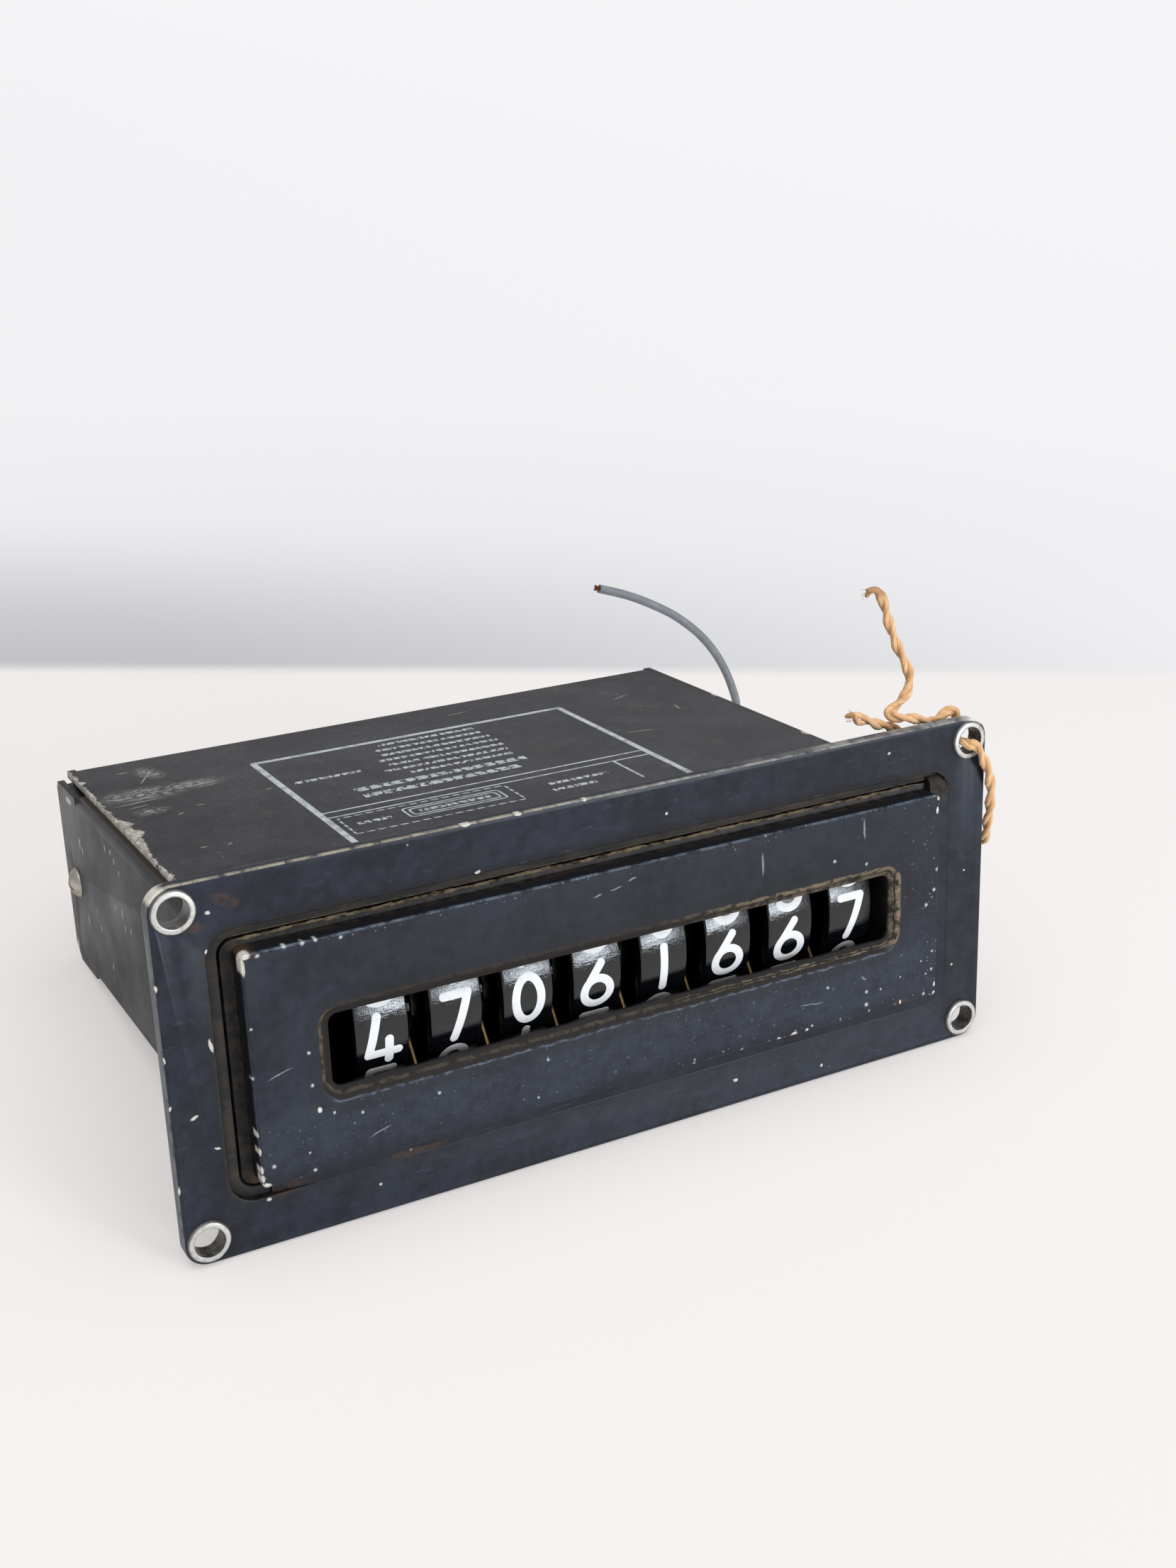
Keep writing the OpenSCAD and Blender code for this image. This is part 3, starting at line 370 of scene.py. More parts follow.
def makeTwine():
    rng = np.random.default_rng(7)
    path = smoothPath(twine["route"], 10)
    step = np.linalg.norm(np.diff(path, axis=0), axis=1)
    along = np.concatenate([[0], np.cumsum(step)])
    turnBy = along / twine["turn"] * 2 * np.pi
    left = np.minimum(along, along[-1] - along)   # distance to the nearer end
    opened = 1 + 0.5 * np.exp(-left / 0.7) + 0.9 * np.exp(-along / 2.5)   # the strands part at both ends
    wave = 1 + 0.07 * np.sin(along * 2.3) * np.sin(along * 0.83 + 1) + 0.05 * np.sin(along * 5.1)
    thin = np.minimum(1, 0.62 + 0.5 * left / 0.8)
    sides, shells, unrolled = 16, [], []
    angle = ringAngles(sides)
    for k in range(2):
        strand = tubeShell(path, twine["strand"] * wave * thin, sides, turnBy + k * np.pi,
                           twine["apart"] * opened, 0.035)
        shells.append(strand)
        ring = np.stack([0.4 * np.cos(angle) + 7 * k, 0.4 * np.sin(angle), np.zeros(sides)], 1)
        unrolled.append((ring[None] + along[:, None, None] * [0, 0, 1]).reshape(-1, 3))
    points, faces = joinShells(shells)
    made = makeObject("tagTwine", toRow(points), faces, makeSkin("twineSkin", twineSkin), sharp=60)
    setUnrolled(made.data, np.concatenate(unrolled))
    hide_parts("tag_twine")
    heading, side, up = pathFrames(path)
    hairs, places = [], []
    for k in range(twine["hairs"]):   # loose fibres, a third of them at the two ends
        at = rng.integers(4, len(path) - 4) if k % 3 else rng.choice([1, 2, 3, len(path) - 2, len(path) - 3])
        a = rng.uniform(0, 2 * np.pi)
        outward = math.cos(a) * side[at] + math.sin(a) * up[at]
        around = math.cos(a + 1.3) * side[at] + math.sin(a + 1.3) * up[at]
        reach = rng.uniform(0.25, 0.75) if k % 3 else rng.uniform(0.5, 1.1)
        sign = rng.choice([-1, 1]) if k % 3 else (-1 if at < 9 else 1)
        start = path[at] + 0.45 * outward
        curve = [start, start + 0.25 * outward + sign * reach * 0.5 * heading[at],
                 start + 0.3 * reach * outward + sign * reach * heading[at] + 0.3 * reach * around]
        hairs.append(tubeShell(smoothPath(curve, 3), twine["hair"], 4))
        places.append(np.tile([rng.uniform(-3, 3), 0, along[at]], (len(hairs[-1][0]), 1)))
    points, faces = joinShells(hairs)
    fuzz = makeObject("twineHairs", toRow(points), faces, made.data.materials[0])
    setUnrolled(fuzz.data, np.concatenate(places))


makeLead()
makeTwine()
print("cords made")


# Plain finishes of the inner pieces
def metalSkin(place, colour, tint, rough):
    grain = noise(place, 0.8, 4, 0.6)
    stain = noise(place, 0.22, 3, 0.6, at=(5, 3, 1))
    return dict(colour=mix(stain.rise(0.42, 0.68) * 0.8, colour, tint), metal=1.0,
                rough=blend(grain, rough, rough + 0.22), normal=bump(grain, 0.12, 0.03))


def dullSkin(place, colour, dust, rough):
    grain = noise(place, 1.4, 3, 0.6)
    patch = noise(place, 0.16, 4, 0.62, at=(2, 7, 4))
    return dict(colour=mix(patch.rise(0.42, 0.7) * 0.6, colour, dust),
                rough=blend(patch, rough, rough + 0.18), normal=bump(grain, 0.15, 0.04))


def dress(node, material, edge, segments=2):   # a CAD piece keeps its shape; its edges are softened
    piece = nodes[node]
    piece.data.materials.clear()
    piece.data.materials.append(material)
    piece.data.shade_smooth()
    weld = piece.modifiers.new("weld", "WELD")
    weld.merge_threshold = 0.004 * mm
    flat = piece.modifiers.new("flat", "DECIMATE")
    flat.decimate_type, flat.angle_limit = "DISSOLVE", math.radians(0.6)
    bevel = piece.modifiers.new("bevel", "BEVEL")
    bevel.width, bevel.segments = edge * mm, segments
    bevel.limit_method, bevel.angle_limit = "ANGLE", math.radians(30)
    bevel.use_clamp_overlap, bevel.harden_normals = True, True


innerPieces = {   # look, its values, the width of the softened edges, and the pieces that have it
    "brass": (metalSkin, ((150, 128, 88), (98, 78, 52), 0.38), 0.05,
              ["idler_gear", "motor_pinion", "wheel_spacers"] +
              [f"{name}_{k}" for k in range(1, 8) for name in ("transfer_pinion", "carrier_plate")]),
    "brightSteel": (metalSkin, ((176, 175, 172), (120, 114, 106), 0.28), 0.08, [
        "wheel_shaft", "pinion_shaft", "front_rod", "shaft_clips", "pinion_sleeves", "idler_stud",
        "motor_posts", "motor_shaft"]),
    "screwSteel": (metalSkin, ((196, 192, 184), (128, 114, 98), 0.34), 0.12, [
        "frame_screws", "frame_nuts", "motor_screws", "side_screws"]),
    "motorSteel": (metalSkin, ((150, 150, 146), (104, 100, 92), 0.4), 0.25, ["motor"]),
    "blackSteel": (dullSkin, ((34, 34, 37), (66, 62, 58), 0.45), 0.1,
                   ["left_bearing_plate", "right_bearing_plate"]),
    "grommetRubber": (dullSkin, ((26, 26, 27), (70, 66, 62), 0.6), 0.1, ["wire_grommet"]),
}
for skinName, (look, values, edge, pieceNames) in innerPieces.items():
    skin = makeSkin(skinName, look, *values)
    for pieceName in pieceNames:
        dress(pieceName, skin, edge)
print("inner pieces dressed")


# Number wheels
wheel = {
    "radius": 13.0, "half": 3.7, "rim": 1.3, "edge": 0.28, "web": 1.2, "hub": 3.2, "bore": 1.55,
    "gear": 1.1, "teeth": 20, "pitch": 10.32, "tip": 10.86, "root": 9.15, "disc": 9.25, "notch": 0.76,
    "lag": 34.0,   # the pinions' shaft lies this many degrees below the wheels'
    "row": 2.3, "step": 10.47, "digit": 36,   # the row's middle, from wheel to wheel, from digit to digit
    "reading": [4, 7, 0, 6, 1, 6, 6, 7],
    "off": [5.1, 2.75, 3.55, 5.65, 6.4, 8.4, 10.25, 4.15],   # degrees that each has run past its digit
}
figure = {
    "stroke": 0.6, "tall": 0.99, "lift": 0.03, "sunk": 0.02, "capSteps": 7,
    "paint": (236, 237, 238), "shade": (216, 218, 215),
}


def wheelX(i):
    return wheel["row"] + (i - 4.5) * wheel["step"]


def arc(centre, radius, first, last, count):   # points of an ellipse between two angles in degrees
    a = np.radians(np.linspace(first, last, count))
    return np.stack([centre[0] + radius[0] * np.cos(a), centre[1] + radius[1] * np.sin(a)], 1)


def drawn(*points, gap=0.12):   # a line with a point every so often
    p = np.asarray(points, float)
    s = np.concatenate([[0], np.cumsum(np.linalg.norm(np.diff(p, axis=0), axis=1))])
    t = np.linspace(0, s[-1], max(3, int(s[-1] / gap)))
    return np.stack([np.interp(t, s, p[:, 0]), np.interp(t, s, p[:, 1])], 1)


def figureStrokes(digit):   # centre lines of a numeral about its middle; True where a line closes on itself
    def line(*points):
        return drawn(*points), False

    def bow(*values):
        return arc(*values), False

    def ring(*values):
        return arc(*values)[:-1], True

    if digit == 0:
        return [ring((0, 0), (1.87, 3.24), 0, 360, 73)]
    if digit == 1:
        return [line((0, 3.16), (0, -3.16))]
    if digit == 2:
        top = arc((0, 1.15), (1.85, 2.0), 165, -22, 40)
        neck = drawn(top[-1], (-1.9, -3.15))[1:]
        return [(np.concatenate([top, neck]), False), line((-1.9, -3.15), (2.0, -3.15))]
    if digit == 3:
        return [bow((0, 1.57), (1.6, 1.58), 150, -90, 44), bow((0, -1.55), (1.95, 1.6), 90, -150, 48)]
    if digit == 4:
        return [line((-0.6, 3.3), (-1.95, -2.05)), line((-1.95, -2.05), (2.2, -2.05)),
                line((0.92, -0.15), (0.92, -3.3))]
    if digit == 5:
        return [line((-1.5, 3.15), (1.6, 3.15)), line((-1.5, 3.15), (-1.75, 0.7)),
                bow((-0.1, -1.1), (2.0, 2.05), 125, -140, 56)]
    if digit == 7:
        return [line((-1.7, 3.1), (1.75, 3.1)), line((1.75, 3.1), (-0.35, -3.3))]
    if digit == 8:
        return [ring((0, 1.62), (1.55, 1.5), 0, 360, 57), ring((0, -1.5), (1.95, 1.65), 0, 360, 65)]
    stem = [(0.62, 3.08, 0), (-0.35, 1.83, 0), (-1.25, 0.6, 0), (-1.85, -0.35, 0), (-2.03, -1.15, 0)]
    stem = smoothPath(stem, 7)
    six = [(stem[:, :2], False), ring((-0.05, -1.1), (2.0, 2.0), 0, 360, 69)]
    return six if digit == 6 else [(-points, closed) for points, closed in six]


def strokeShell(line, closed, lift):   # a flat ribbon with round ends, as (sideways, up, lift) points
    if closed:
        ahead = np.roll(line, -1, 0) - np.roll(line, 1, 0)
        width = np.full(len(line), figure["stroke"])
    else:
        first, last = line[0] - line[1], line[-1] - line[-2]
        first, last = first / np.linalg.norm(first), last / np.linalg.norm(last)
        out = figure["stroke"] * np.sin(np.linspace(0.14, np.pi / 2 - 0.03, figure["capSteps"]))[:, None]
        line = np.concatenate([line[0] + out[::-1] * first, line, line[-1] + out * last])
        cap = np.sqrt(figure["stroke"] ** 2 - out[:, 0] ** 2)
        width = np.full(len(line), figure["stroke"])
        width[:len(cap)], width[-len(cap):] = cap[::-1], cap
        ahead = np.gradient(line, axis=0)
    ahead /= np.linalg.norm(ahead, axis=1)[:, None]
    across = np.stack([-ahead[:, 1], ahead[:, 0]], 1)
    section = np.array([(-1, 0.5 * lift), (-0.88, lift), (0, lift * 1.15), (0.88, lift), (1, 0.5 * lift),
                        (1, -figure["sunk"]), (0, -figure["sunk"]), (-1, -figure["sunk"])])
    flat = line[:, None] + section[None, :, :1] * (width[:, None] * across)[:, None]
    tall = np.broadcast_to(section[None, :, 1:], flat.shape[:2] + (1,))
    faces = [f[::-1] for f in gridFaces(len(line), len(section), closed, True)]
    if not closed:
        faces += caps(len(line), len(section))
    return np.concatenate([flat, tall], 2).reshape(-1, 3), faces


def figuresShell(i):   # all ten numerals of a wheel, wrapped round its rim
    shells = []
    for digit in range(10):
        middle = 180 + wheel["digit"] * (digit - wheel["reading"][i - 1]) + wheel["off"][i - 1]
        for k, (line, closed) in enumerate(figureStrokes(digit)):
            points, faces = strokeShell(line * [1, figure["tall"]], closed, figure["lift"] + 0.006 * k)
            a = np.radians(middle) - points[:, 1] / wheel["radius"]
            r = wheel["radius"] + points[:, 2]
            shells.append((np.stack([wheelX(i) + points[:, 0], axisDepth + r * np.cos(a),
                                     axisHeight + r * np.sin(a)], 1), faces))
    return joinShells(shells)


def gearOutline(teeth, pitch, tip, root, phase, backlash=0.09):   # three points on each flank
    def halfTooth(r):
        lean = math.radians(20)
        at = math.acos(min(1, pitch * math.cos(lean) / r))
        return math.pi / 2 / teeth * (1 - backlash) + math.tan(lean) - lean - (math.tan(at) - at)
    flank = [(-halfTooth(r), r) for r in (root, pitch, tip)] + [(halfTooth(r), r) for r in (tip, pitch, root)]
    turns = [math.radians(phase + 360 * k / teeth) for k in range(teeth)]
    return np.array([(r * math.cos(t + a), r * math.sin(t + a)) for t in turns for a, r in flank])


def discOutline(carry):   # the transfer disc with three round notches, one tooth apart
    r, n = wheel["disc"], wheel["notch"]
    side, mouth, step = math.asin(n / r), math.sqrt(r * r - n * n), 360 / wheel["teeth"]

    def rim(first, last, count):
        return [(r * math.cos(a), r * math.sin(a)) for a in np.linspace(first, last, count)[1:-1]]

    floor = [(r - n - n * math.cos(b), n * math.sin(b)) for b in np.linspace(-np.pi / 2, np.pi / 2, 9)]
    outline, last = [], None
    for k in (-1, 0, 1):
        middle = math.radians(carry + step * k)
        if last is not None:
            outline += rim(last, middle - side, 4)
        c, s = math.cos(middle), math.sin(middle)
        outline += [(p * c - q * s, p * s + q * c) for p, q in [(mouth, -n), *floor, (mouth, n)]]
        last = middle + side
    return np.array(outline + rim(last, math.radians(carry - step) - side + 2 * np.pi, 60))


def prism(outline, x0, x1, centre):   # an outline in depth and height, drawn out along X
    n = len(outline)
    points = np.concatenate([np.column_stack([np.full(n, x), outline + centre]) for x in (x0, x1)])
    faces = [[k, (k + 1) % n, n + (k + 1) % n, n + k] for k in range(n)]
    return points, faces + [list(range(n))[::-1], list(range(n, 2 * n))]


def wheelShell(i):
    w, half, r = wheel, wheel["half"], wheel["radius"]
    turn = np.linspace(0, np.pi / 2, 5)
    left = [(r - w["edge"] * (1 - math.sin(a)), -half + w["edge"] * (1 - math.cos(a))) for a in turn]
    right = [(r - w["edge"] * (1 - math.cos(a)), half - w["edge"] * (1 - math.sin(a))) for a in turn]
    profile = [(w["bore"], -half - w["gear"]), (w["hub"], -half - w["gear"]), (w["hub"], w["web"]),
               (r - w["rim"], w["web"]), (r - w["rim"], -half), *left, *right,
               (w["hub"], half), (w["hub"], half + w["gear"]), (w["bore"], half + w["gear"])]
    centre = np.array([wheelX(i), axisDepth, axisHeight])
    # a gap faces the pinion, and on the last wheel the idler behind it
    phase = 180 / w["teeth"] - w["lag"] * (i < 8)
    shells = [lathe(profile, 192, centre),
              prism(gearOutline(w["teeth"], w["pitch"], w["tip"], w["root"], phase),
                    centre[0] + half - 0.05, centre[0] + half + w["gear"], centre[1:])]
    if i > 1:
        carry = -w["lag"] + (9.5 - w["reading"][i - 1]) * w["digit"]
        shells.append(prism(discOutline(carry), centre[0] - half - w["gear"], centre[0] - half, centre[1:]))
    return joinShells(shells)


def wheelSkin(place):   # gloss black, with fine streaks round the rim where dust has been wiped off
    cloud = noise(place, 0.5, 4, 0.65)
    speck = noise(place, 4.0, 2, 0.7, at=(3, 1, 9)).rise(0.68, 0.75)
    streak = noise(place, 1.1, 4, 0.75, (5, 0.7, 0.7), (1, 8, 2))
    lap = noise(place, 2.2, 3, 0.7, (0.4, 1.0, 1.0), (6, 2, 2))
    colour = mix(cloud.rise(0.4, 0.75) * 0.3, (8, 9, 12), (20, 21, 25))
    colour = mix(speck * 0.25, colour, (92, 88, 84))
    return dict(colour=colour, specular=0.6,
                rough=blend(cloud.rise(0.35, 0.7), 0.03, 0.06).most(streak.rise(0.6, 0.74) * 0.22),
                normal=bump(streak * 0.5 + lap * 0.9, 0.6, 0.06))


def figureSkin(place):   # cream white paint, a little worn
    patch = noise(place, 0.8, 4, 0.7)
    pit = noise(place, 5.0, 2, 0.6, at=(4, 4, 1)).rise(0.66, 0.72)
    colour = mix(patch.rise(0.5, 0.75) * 0.5, figure["paint"], figure["shade"])
    return dict(colour=mix(pit * 0.5, colour, (120, 118, 110)), rough=0.5)


def makeWheels():
    black, white = makeSkin("wheelBlack", wheelSkin), makeSkin("figureWhite", figureSkin)
    for i in range(1, 9):
        points, faces = wheelShell(i)
        drum = makeObject(f"numberWheel{i}", toRow(points), faces, black, f"wheel_{i}", sharp=32)
        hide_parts(f"number_wheel_{i}")
        points, faces = figuresShell(i)
        paint = makeObject(f"numerals{i}", toRow(points), faces, white, f"wheel_{i}", sharp=40)


makeWheels()
print("number wheels made")


# Eyelets
eyelet = {
    "places": [(-59.5, 3.2), (59.5, 3.2), (-59.5, 47.6), (59.5, 47.6)],
    "bore": 1.95, "rim": 2.86, "thick": 0.45, "plate": 2.0,
    "roll": 0.1, "crest": 2.2, "lip": 0.3, "foot": 0.02,
    "bright": (200, 198, 194), "dull": (130, 127, 122), "dark": (36, 31, 28),
}


def eyeletSkin(place):   # worn plating: bright where the rim is rubbed, brown in the bore and at its foot
    e = eyelet
    x, _, z = axes(place)
    across, up = e["places"][-1]
    du, dv = abs(x) - across, abs(z - axisHeight) - (up - axisHeight)
    r = (du * du + dv * dv).root()
    cloud = noise(place, 1.3, 4, 0.7)
    fine = noise(place, 6.0, 3, 0.7)
    brown = (r + cloud * 0.3).rise(2.3, 2.08).most((r + cloud * 0.25).rise(2.7, 2.86) * 0.85)
    colour = mix(brown * 0.9, e["bright"], e["dark"])
    colour = mix(cloud.rise(0.45, 0.7) * 0.55, colour, e["dull"])
    return dict(colour=colour, metal=0.45, rough=blend(cloud, 0.28, 0.5), normal=bump(fine, 0.25, 0.05))


def makeEyelets():
    e = eyelet
    half = e["thick"] / 2
    roll, lip, foot = e["roll"], e["lip"], e["foot"]
    inner = [(e["bore"] + roll * (1 - math.cos(a)), -half + roll - (half + roll) * math.sin(a))
             for a in np.linspace(0, np.pi / 2, 4)]
    outer = [(e["rim"] - lip + lip * math.sin(a), foot - (e["thick"] - foot) * math.cos(a))
             for a in np.linspace(0, np.pi / 2, 6)]
    profile = inner + [(e["crest"], -e["thick"])] + outer + [(e["bore"] + 0.4, foot)]
    back = [(r, e["plate"] - along) for r, along in profile[::-1]]
    shells = []
    for k, (x, z) in enumerate(e["places"]):
        def dent(a, along, k=k):   # each rim was rolled by hand, so none is quite round
            return 0.05 * np.sin(2 * a + k) * np.cos(3 * a + 2 * k) * (np.abs(along - 1) > 0.8)
        shells.append(lathe(profile + back, 96, np.array([x, 0, z]), "y", dent))
    points, faces = joinShells(shells)
    made = makeObject("eyeletRings", toRow(points), faces, makeSkin("eyeletMetal", eyeletSkin), sharp=50)
    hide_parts("eyelets")


makeEyelets()
print("eyelets made")


# Marks on the painted sheet: each one is placed where the photograph shows it
def wander(place, amount, scale, at=(0, 0, 0)):   # the same place, shifted a little so that edges turn ragged
    near = place if at == (0, 0, 0) else vector("ADD", place, at)
    push = place.node("ShaderNodeTexNoise", {}, {"Vector": near, "Scale": scale, "Detail": 3.0}, out="Color")
    push = vector("SCALE", vector("SUBTRACT", push, (0.5, 0.5, 0.5)), 2 * amount)
    return vector("ADD", place, push)


faceAxes = {"front": (0, 2, 1), "top": (0, 1, 2), "side": (1, 2, 0)}   # across, up and out of each face


def marks(place, face, spots, soft=0.3):   # a spot is (at, up, radius) or (at, up, size, size, angle)
    order = faceAxes[face]

    def lie(*values):   # across, up and out, put in the order of X, depth and Z
        return tuple(values[order.index(k)] for k in range(3))

    flat = vector("MULTIPLY", place, lie(1, 1, 0))
    total = None
    for at, up, *size in spots:
        if len(size) == 1:
            near = vector("DISTANCE", flat, lie(at, up, 0), out="Value")
            mark = near.rise(size[0] * (1 + soft), size[0] * (1 - soft))
        else:
            angle = math.radians(size[2]) if len(size) > 2 else 0.0
            turned = lie(0, 0, -angle if face == "front" else angle)
            near = flat.node("ShaderNodeMapping", {"vector_type": "TEXTURE"}, {
                "Vector": flat, "Location": lie(at, up, 0), "Rotation": turned, "Scale": lie(*size[:2], 1)})
            mark = vector("LENGTH", near, out="Value").rise(1 + soft, 1 - soft)
        total = mark if total is None else total.most(mark)
    return total


# Front plate and raised panel share one paint
panel = {
    "paint": (20, 24, 34), "faded": (34, 40, 53), "rubbed": (160, 158, 154), "tan": (172, 162, 146),
    "primer": (216, 212, 202), "rust": (84, 60, 44), "dirt": (62, 51, 40), "dust": (126, 112, 92),
    "blue": (108, 120, 136), "grey": (168, 172, 176), "black": (13, 13, 15),
    "plateHalf": (62.7, 25.4), "openHalf": (56.1, 18.4), "panHalf": (52.7, 15.8),
    "windowAt": (1.1, axisHeight), "windowHalf": (43.2, 5.0),
    "plateCorners": [(-61.9, 50.1, 1.7, 1.0), (61.2, 50.4, 2.2, 0.7)],
    "plateRust": [
        (-53.3, 47.8, 1.5, 0.7, -28), (-57.0, 45.0, 0.9, 0.6), (-48.8, 7.6, 2.4, 0.9, 8),
        (-31.4, 7.4, 3.8, 0.45), (-52.2, 47.1, 0.7, 0.5)],
    "plateChips": [
        (-55.3, 46.6, 0.3), (-55.9, 41.7, 0.22), (-51.3, 6.6, 0.28), (-54.3, 10.6, 0.5, 0.22, 60),
        (-19.9, 44.1, 0.4, 0.2, 10), (18.7, 3.8, 0.4, 0.2), (-59.6, 20.5, 0.5, 0.2, 30),
        (-57.2, 15.6, 0.4, 0.15, -20), (-56.6, 29.5, 0.2, 0.9, 8), (-4, 50.75, 0.3, 0.2),
        (-13.8, 50.75, 0.45, 0.2), (-21.2, 50.75, 0.65, 0.2), (60.8, 50.5, 1.2, 0.35),
        (-62.5, 38.4, 0.14, 0.4), (-62.5, 11.2, 0.14, 0.5), (-62.5, 29.0, 0.12, 0.4),
        (-62.4, 22.6, 0.14, 0.3), (45.2, 48.1, 0.2), (8.2, 46.4, 0.18), (-36.3, 4.1, 0.2),
        (57.6, 12.4, 0.22), (59.4, 27.3, 0.18), (33.7, 2.1, 0.25)],
    "panRust": [
        (-52.4, 9.5, 0.75, 0.5), (46.1, 9.9, 1.3, 0.45), (-51.9, 41.0, 1.2, 0.35)],
    "panChips": [
        (-52.2, 41.0, 0.75, 0.42), (-52.5, 39.7, 0.3, 1.2, 4), (-51.6, 42.0, 0.25, 0.5, -20),
        (-53.2, 41.3, 0.6, 0.2, 10), (-52.6, 12.2, 0.25, 0.5), (-52.3, 9.9, 0.75, 0.45),
        (-52.8, 17.2, 0.25, 0.5), (-52.6, 14.8, 0.16, 0.5), (-52.6, 11.0, 0.3, 0.5),
        (52.4, 11.4, 0.26, 0.42), (52.4, 9.8, 0.34, 0.42), (27.2, 9.8, 0.5, 0.28), (29.4, 9.9, 0.28, 0.22),
        (24.6, 9.8, 0.32, 0.2), (35.4, 9.6, 0.28, 0.18), (46.1, 9.9, 0.14, 0.4, 10),
        (-44.4, 18.3, 0.26, 0.34), (52.5, 40.7, 0.4, 0.3), (52.2, 38.9, 0.2, 0.5)],
    "panSpecks": [
        (34.1, 34.8, 0.24), (39.7, 33.2, 0.22), (52.4, 29.7, 0.26), (53.7, 30.6, 0.2), (51.9, 26.6, 0.26),
        (50.5, 24.5, 0.26), (52.6, 18.3, 0.2), (54.2, 17.2, 0.22), (51.8, 16.9, 0.18), (51.8, 14.0, 0.2),
        (50.7, 13.5, 0.15), (49.8, 15.7, 0.14), (33.0, 15.6, 0.17), (39.9, 13.2, 0.24), (39.9, 11.2, 0.3),
        (42.5, 13.0, 0.15), (46.0, 14.1, 0.14), (50.4, 10.3, 0.24), (51.0, 9.2, 0.18), (37.1, 9.6, 0.15),
        (30.3, 10.3, 0.17), (-47.1, 41.2, 0.26), (-44.8, 41.0, 0.26), (-43.1, 41.1, 0.24),
        (-39.8, 40.7, 0.22), (-50.5, 40.7, 0.24), (-52.2, 31.5, 0.17), (-45.2, 26.4, 0.22),
        (-45.1, 21.9, 0.23), (-52.6, 24.9, 0.2), (-42.5, 17.4, 0.2), (-38.8, 16.4, 0.2), (-47.7, 9.6, 0.2),
        (-45.7, 10.2, 0.22), (-46.2, 12.8, 0.17), (-28.2, 16.1, 0.22), (-12.3, 16.5, 0.2),
        (-14.0, 11.4, 0.16), (-51.0, 12.3, 0.24), (10.4, 9.8, 0.2), (18.3, 9.8, 0.2)],
    "panScuffs": [
        (22.0, 36.9, 0.16, 1.5, 1), (39.2, 38.5, 0.16, 1.4, 3), (53.9, 25.9, 0.13, 0.8, 0),
        (39.4, 15.5, 0.5, 0.12, -35), (-4.0, 38.1, 0.6, 0.1, 12), (-1.2, 38.5, 0.8, 0.1, 10),
        (1.3, 39.3, 0.6, 0.12, 8), (-49.1, 24.6, 1.6, 0.09, 16), (-36.6, 13.1, 1.5, 0.08, 18),
        (30.3, 13.7, 1.9, 0.07, -8)],
}


def panelGround(place):   # the paint itself: colour, roughness and the height of its skin
    wide = noise(place, 0.085, 4, 0.6, at=(3, 0, 8))
    fine = noise(place, 0.55, 4, 0.65, at=(1, 6, 0))
    grain = noise(place, 2.6, 2, 0.5)
    colour = mix((wide * 0.5 + fine * 0.5).rise(0.38, 0.64), panel["paint"], panel["faded"])
    colour = mix(grain.rise(0.5, 0.75) * 0.25, colour, (14, 16, 20))
    rough = blend(wide.rise(0.35, 0.7), 0.34, 0.5) + (fine - 0.5) * 0.12
    return colour, rough, grain, fine


